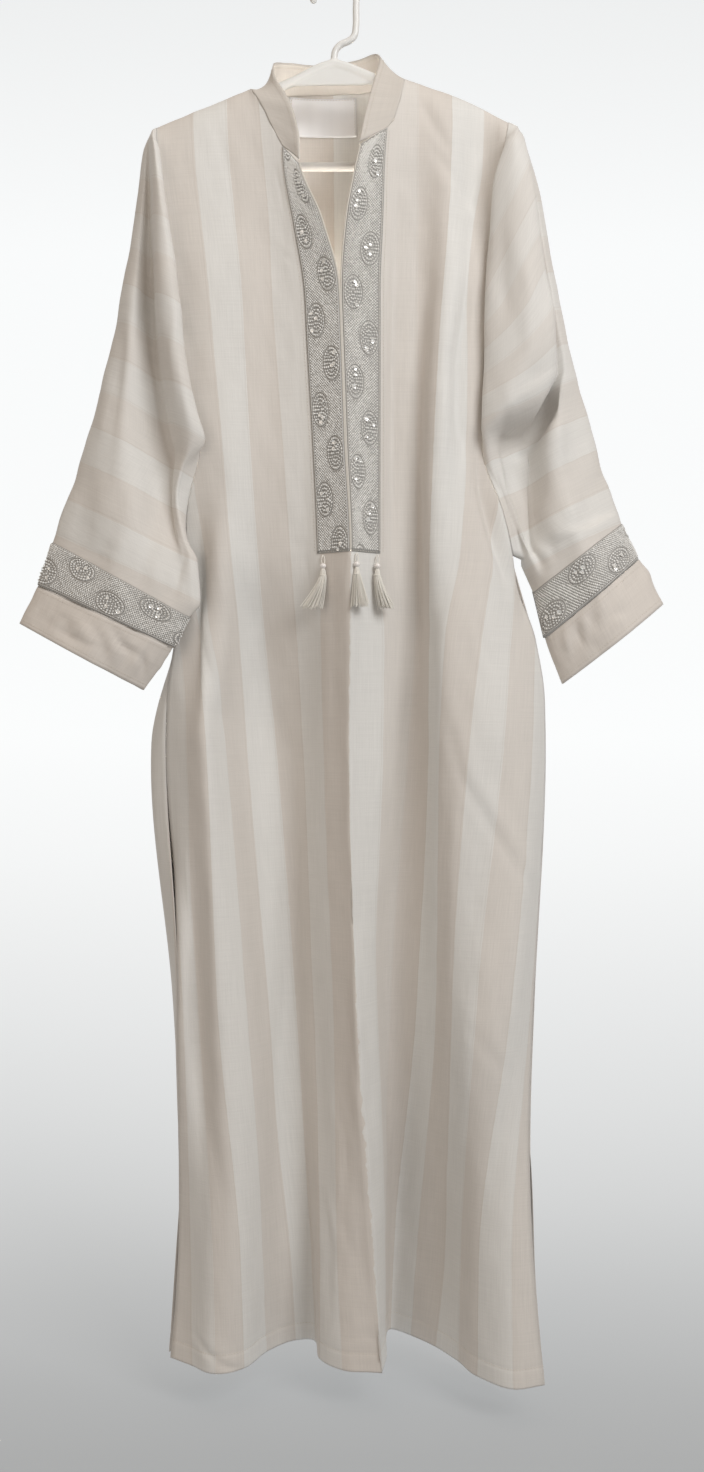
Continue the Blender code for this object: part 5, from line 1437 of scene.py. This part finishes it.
# Painted light and shade of the glowing sweep: how bright it is, by how far below the middle of the frame it
# shows, as a share of its height.
SWEEP_PAINTED_LIGHT = ((-0.5, 0.90), (-0.33, 0.98), (0.0, 1.0), (0.08, 0.94), (0.18, 0.82), (0.25, 0.735),
               (0.31, 0.65), (0.38, 0.53), (0.45, 0.43), (0.5, 0.39))
SWEEP_OUT, WALL_TOP = 6.0, 4.5
bend = WALL - CURVE_FROM
sweep = [(y, FLOOR) for y in np.linspace(-SWEEP_OUT, CURVE_FROM, 90)]
sweep += [(CURVE_FROM + bend * math.sin(a), FLOOR + bend * (1 - math.cos(a)))
          for a in np.radians(np.linspace(3, 90, 30))]
sweep += [(WALL, z) for z in np.linspace(FLOOR + bend + 0.1, WALL_TOP, 20)]
vertices = [(x, y, z) for y, z in sweep for x in (-SWEEP_OUT, SWEEP_OUT)]
faces = [(2 * i, 2 * i + 1, 2 * i + 3, 2 * i + 2) for i in range(len(sweep) - 1)]
mesh = bpy.data.meshes.new("sweep")
mesh.from_pydata(vertices, [], faces)
below = [(CAMERA_HIGH - z) / max(y + CAMERA_BACK, 0.3) * CAMERA_BACK / FRAME_HIGH for _, y, z in vertices]
mesh.attributes.new("tone", 'FLOAT', 'POINT').data.foreach_set("value", np.interp(below, *zip(*SWEEP_PAINTED_LIGHT)))
mesh.shade_smooth()
backdrop = show("sweep", mesh)
# The sweep is no lamp but glows by its own emission; its tone paints light and shade on it, darker towards
# the front.
paper = Finish("paper_sweep", roughness=0.9, specular_ior_level=0.0, emission_strength=1.0)
tone = paper.node('ShaderNodeAttribute', {'attribute_name': "tone"}, (), output=2)
paper.set('Base Color', paper.mix(tone, (0.0, 0.0, 0.0, 1.0), (0.35, 0.35, 0.35, 1.0)))
paper.set('Emission Color', paper.mix(tone, (0.0, 0.0, 0.0, 1.0), (0.785, 0.81, 0.825, 1.0)))
mesh.materials.append(paper.material)


def soft_light(name, place, aim, wide, power, colour):
    """A large soft box aimed at a point."""
    lamp = bpy.data.lights.new(name, 'AREA')
    lamp.shape, lamp.size, lamp.energy, lamp.color = 'SQUARE', wide, power, colour
    holder = show(name, lamp)
    holder.location = place
    holder.rotation_mode = 'QUATERNION'
    holder.rotation_quaternion = (Vector(aim) - Vector(place)).to_track_quat('-Z', 'Y')


soft_light("key", (1.35, -2.05, 0.7), (0, 0, -0.8), 1.4, 45.5, (0.965, 0.985, 1.0))
soft_light("fill", (-1.8, -2.2, -0.2), (0, 0, -0.8), 1.8, 9, (1.0, 0.88, 0.76))
soft_light("top", (0.1, -0.5, 1.5), (0, 0, -0.5), 1.2, 6, (1.0, 0.97, 0.93))
soft_light("neck", (0.0, -0.005, -0.62), (0.0, 0.035, -0.16), 0.05, 1.9, (1.0, 0.96, 0.9))
world = bpy.data.worlds.new("studio")
world.use_nodes = True
world.node_tree.nodes["Background"].inputs[0].default_value = (1.0, 0.85, 0.70, 1.0)
world.node_tree.nodes["Background"].inputs[1].default_value = 0.35
bpy.context.scene.world = world
bpy.context.scene.view_settings.view_transform = 'Standard'
camera = bpy.data.cameras.new("camera")
camera.sensor_fit = 'AUTO'
camera.sensor_width = 36.0
camera.lens = camera.sensor_width * CAMERA_BACK / FRAME_HIGH
stand = show("camera", camera)
stand.location = (0.02035, -CAMERA_BACK, CAMERA_HIGH)
stand.rotation_euler = (math.radians(90), 0, 0)
bpy.context.scene.camera = stand
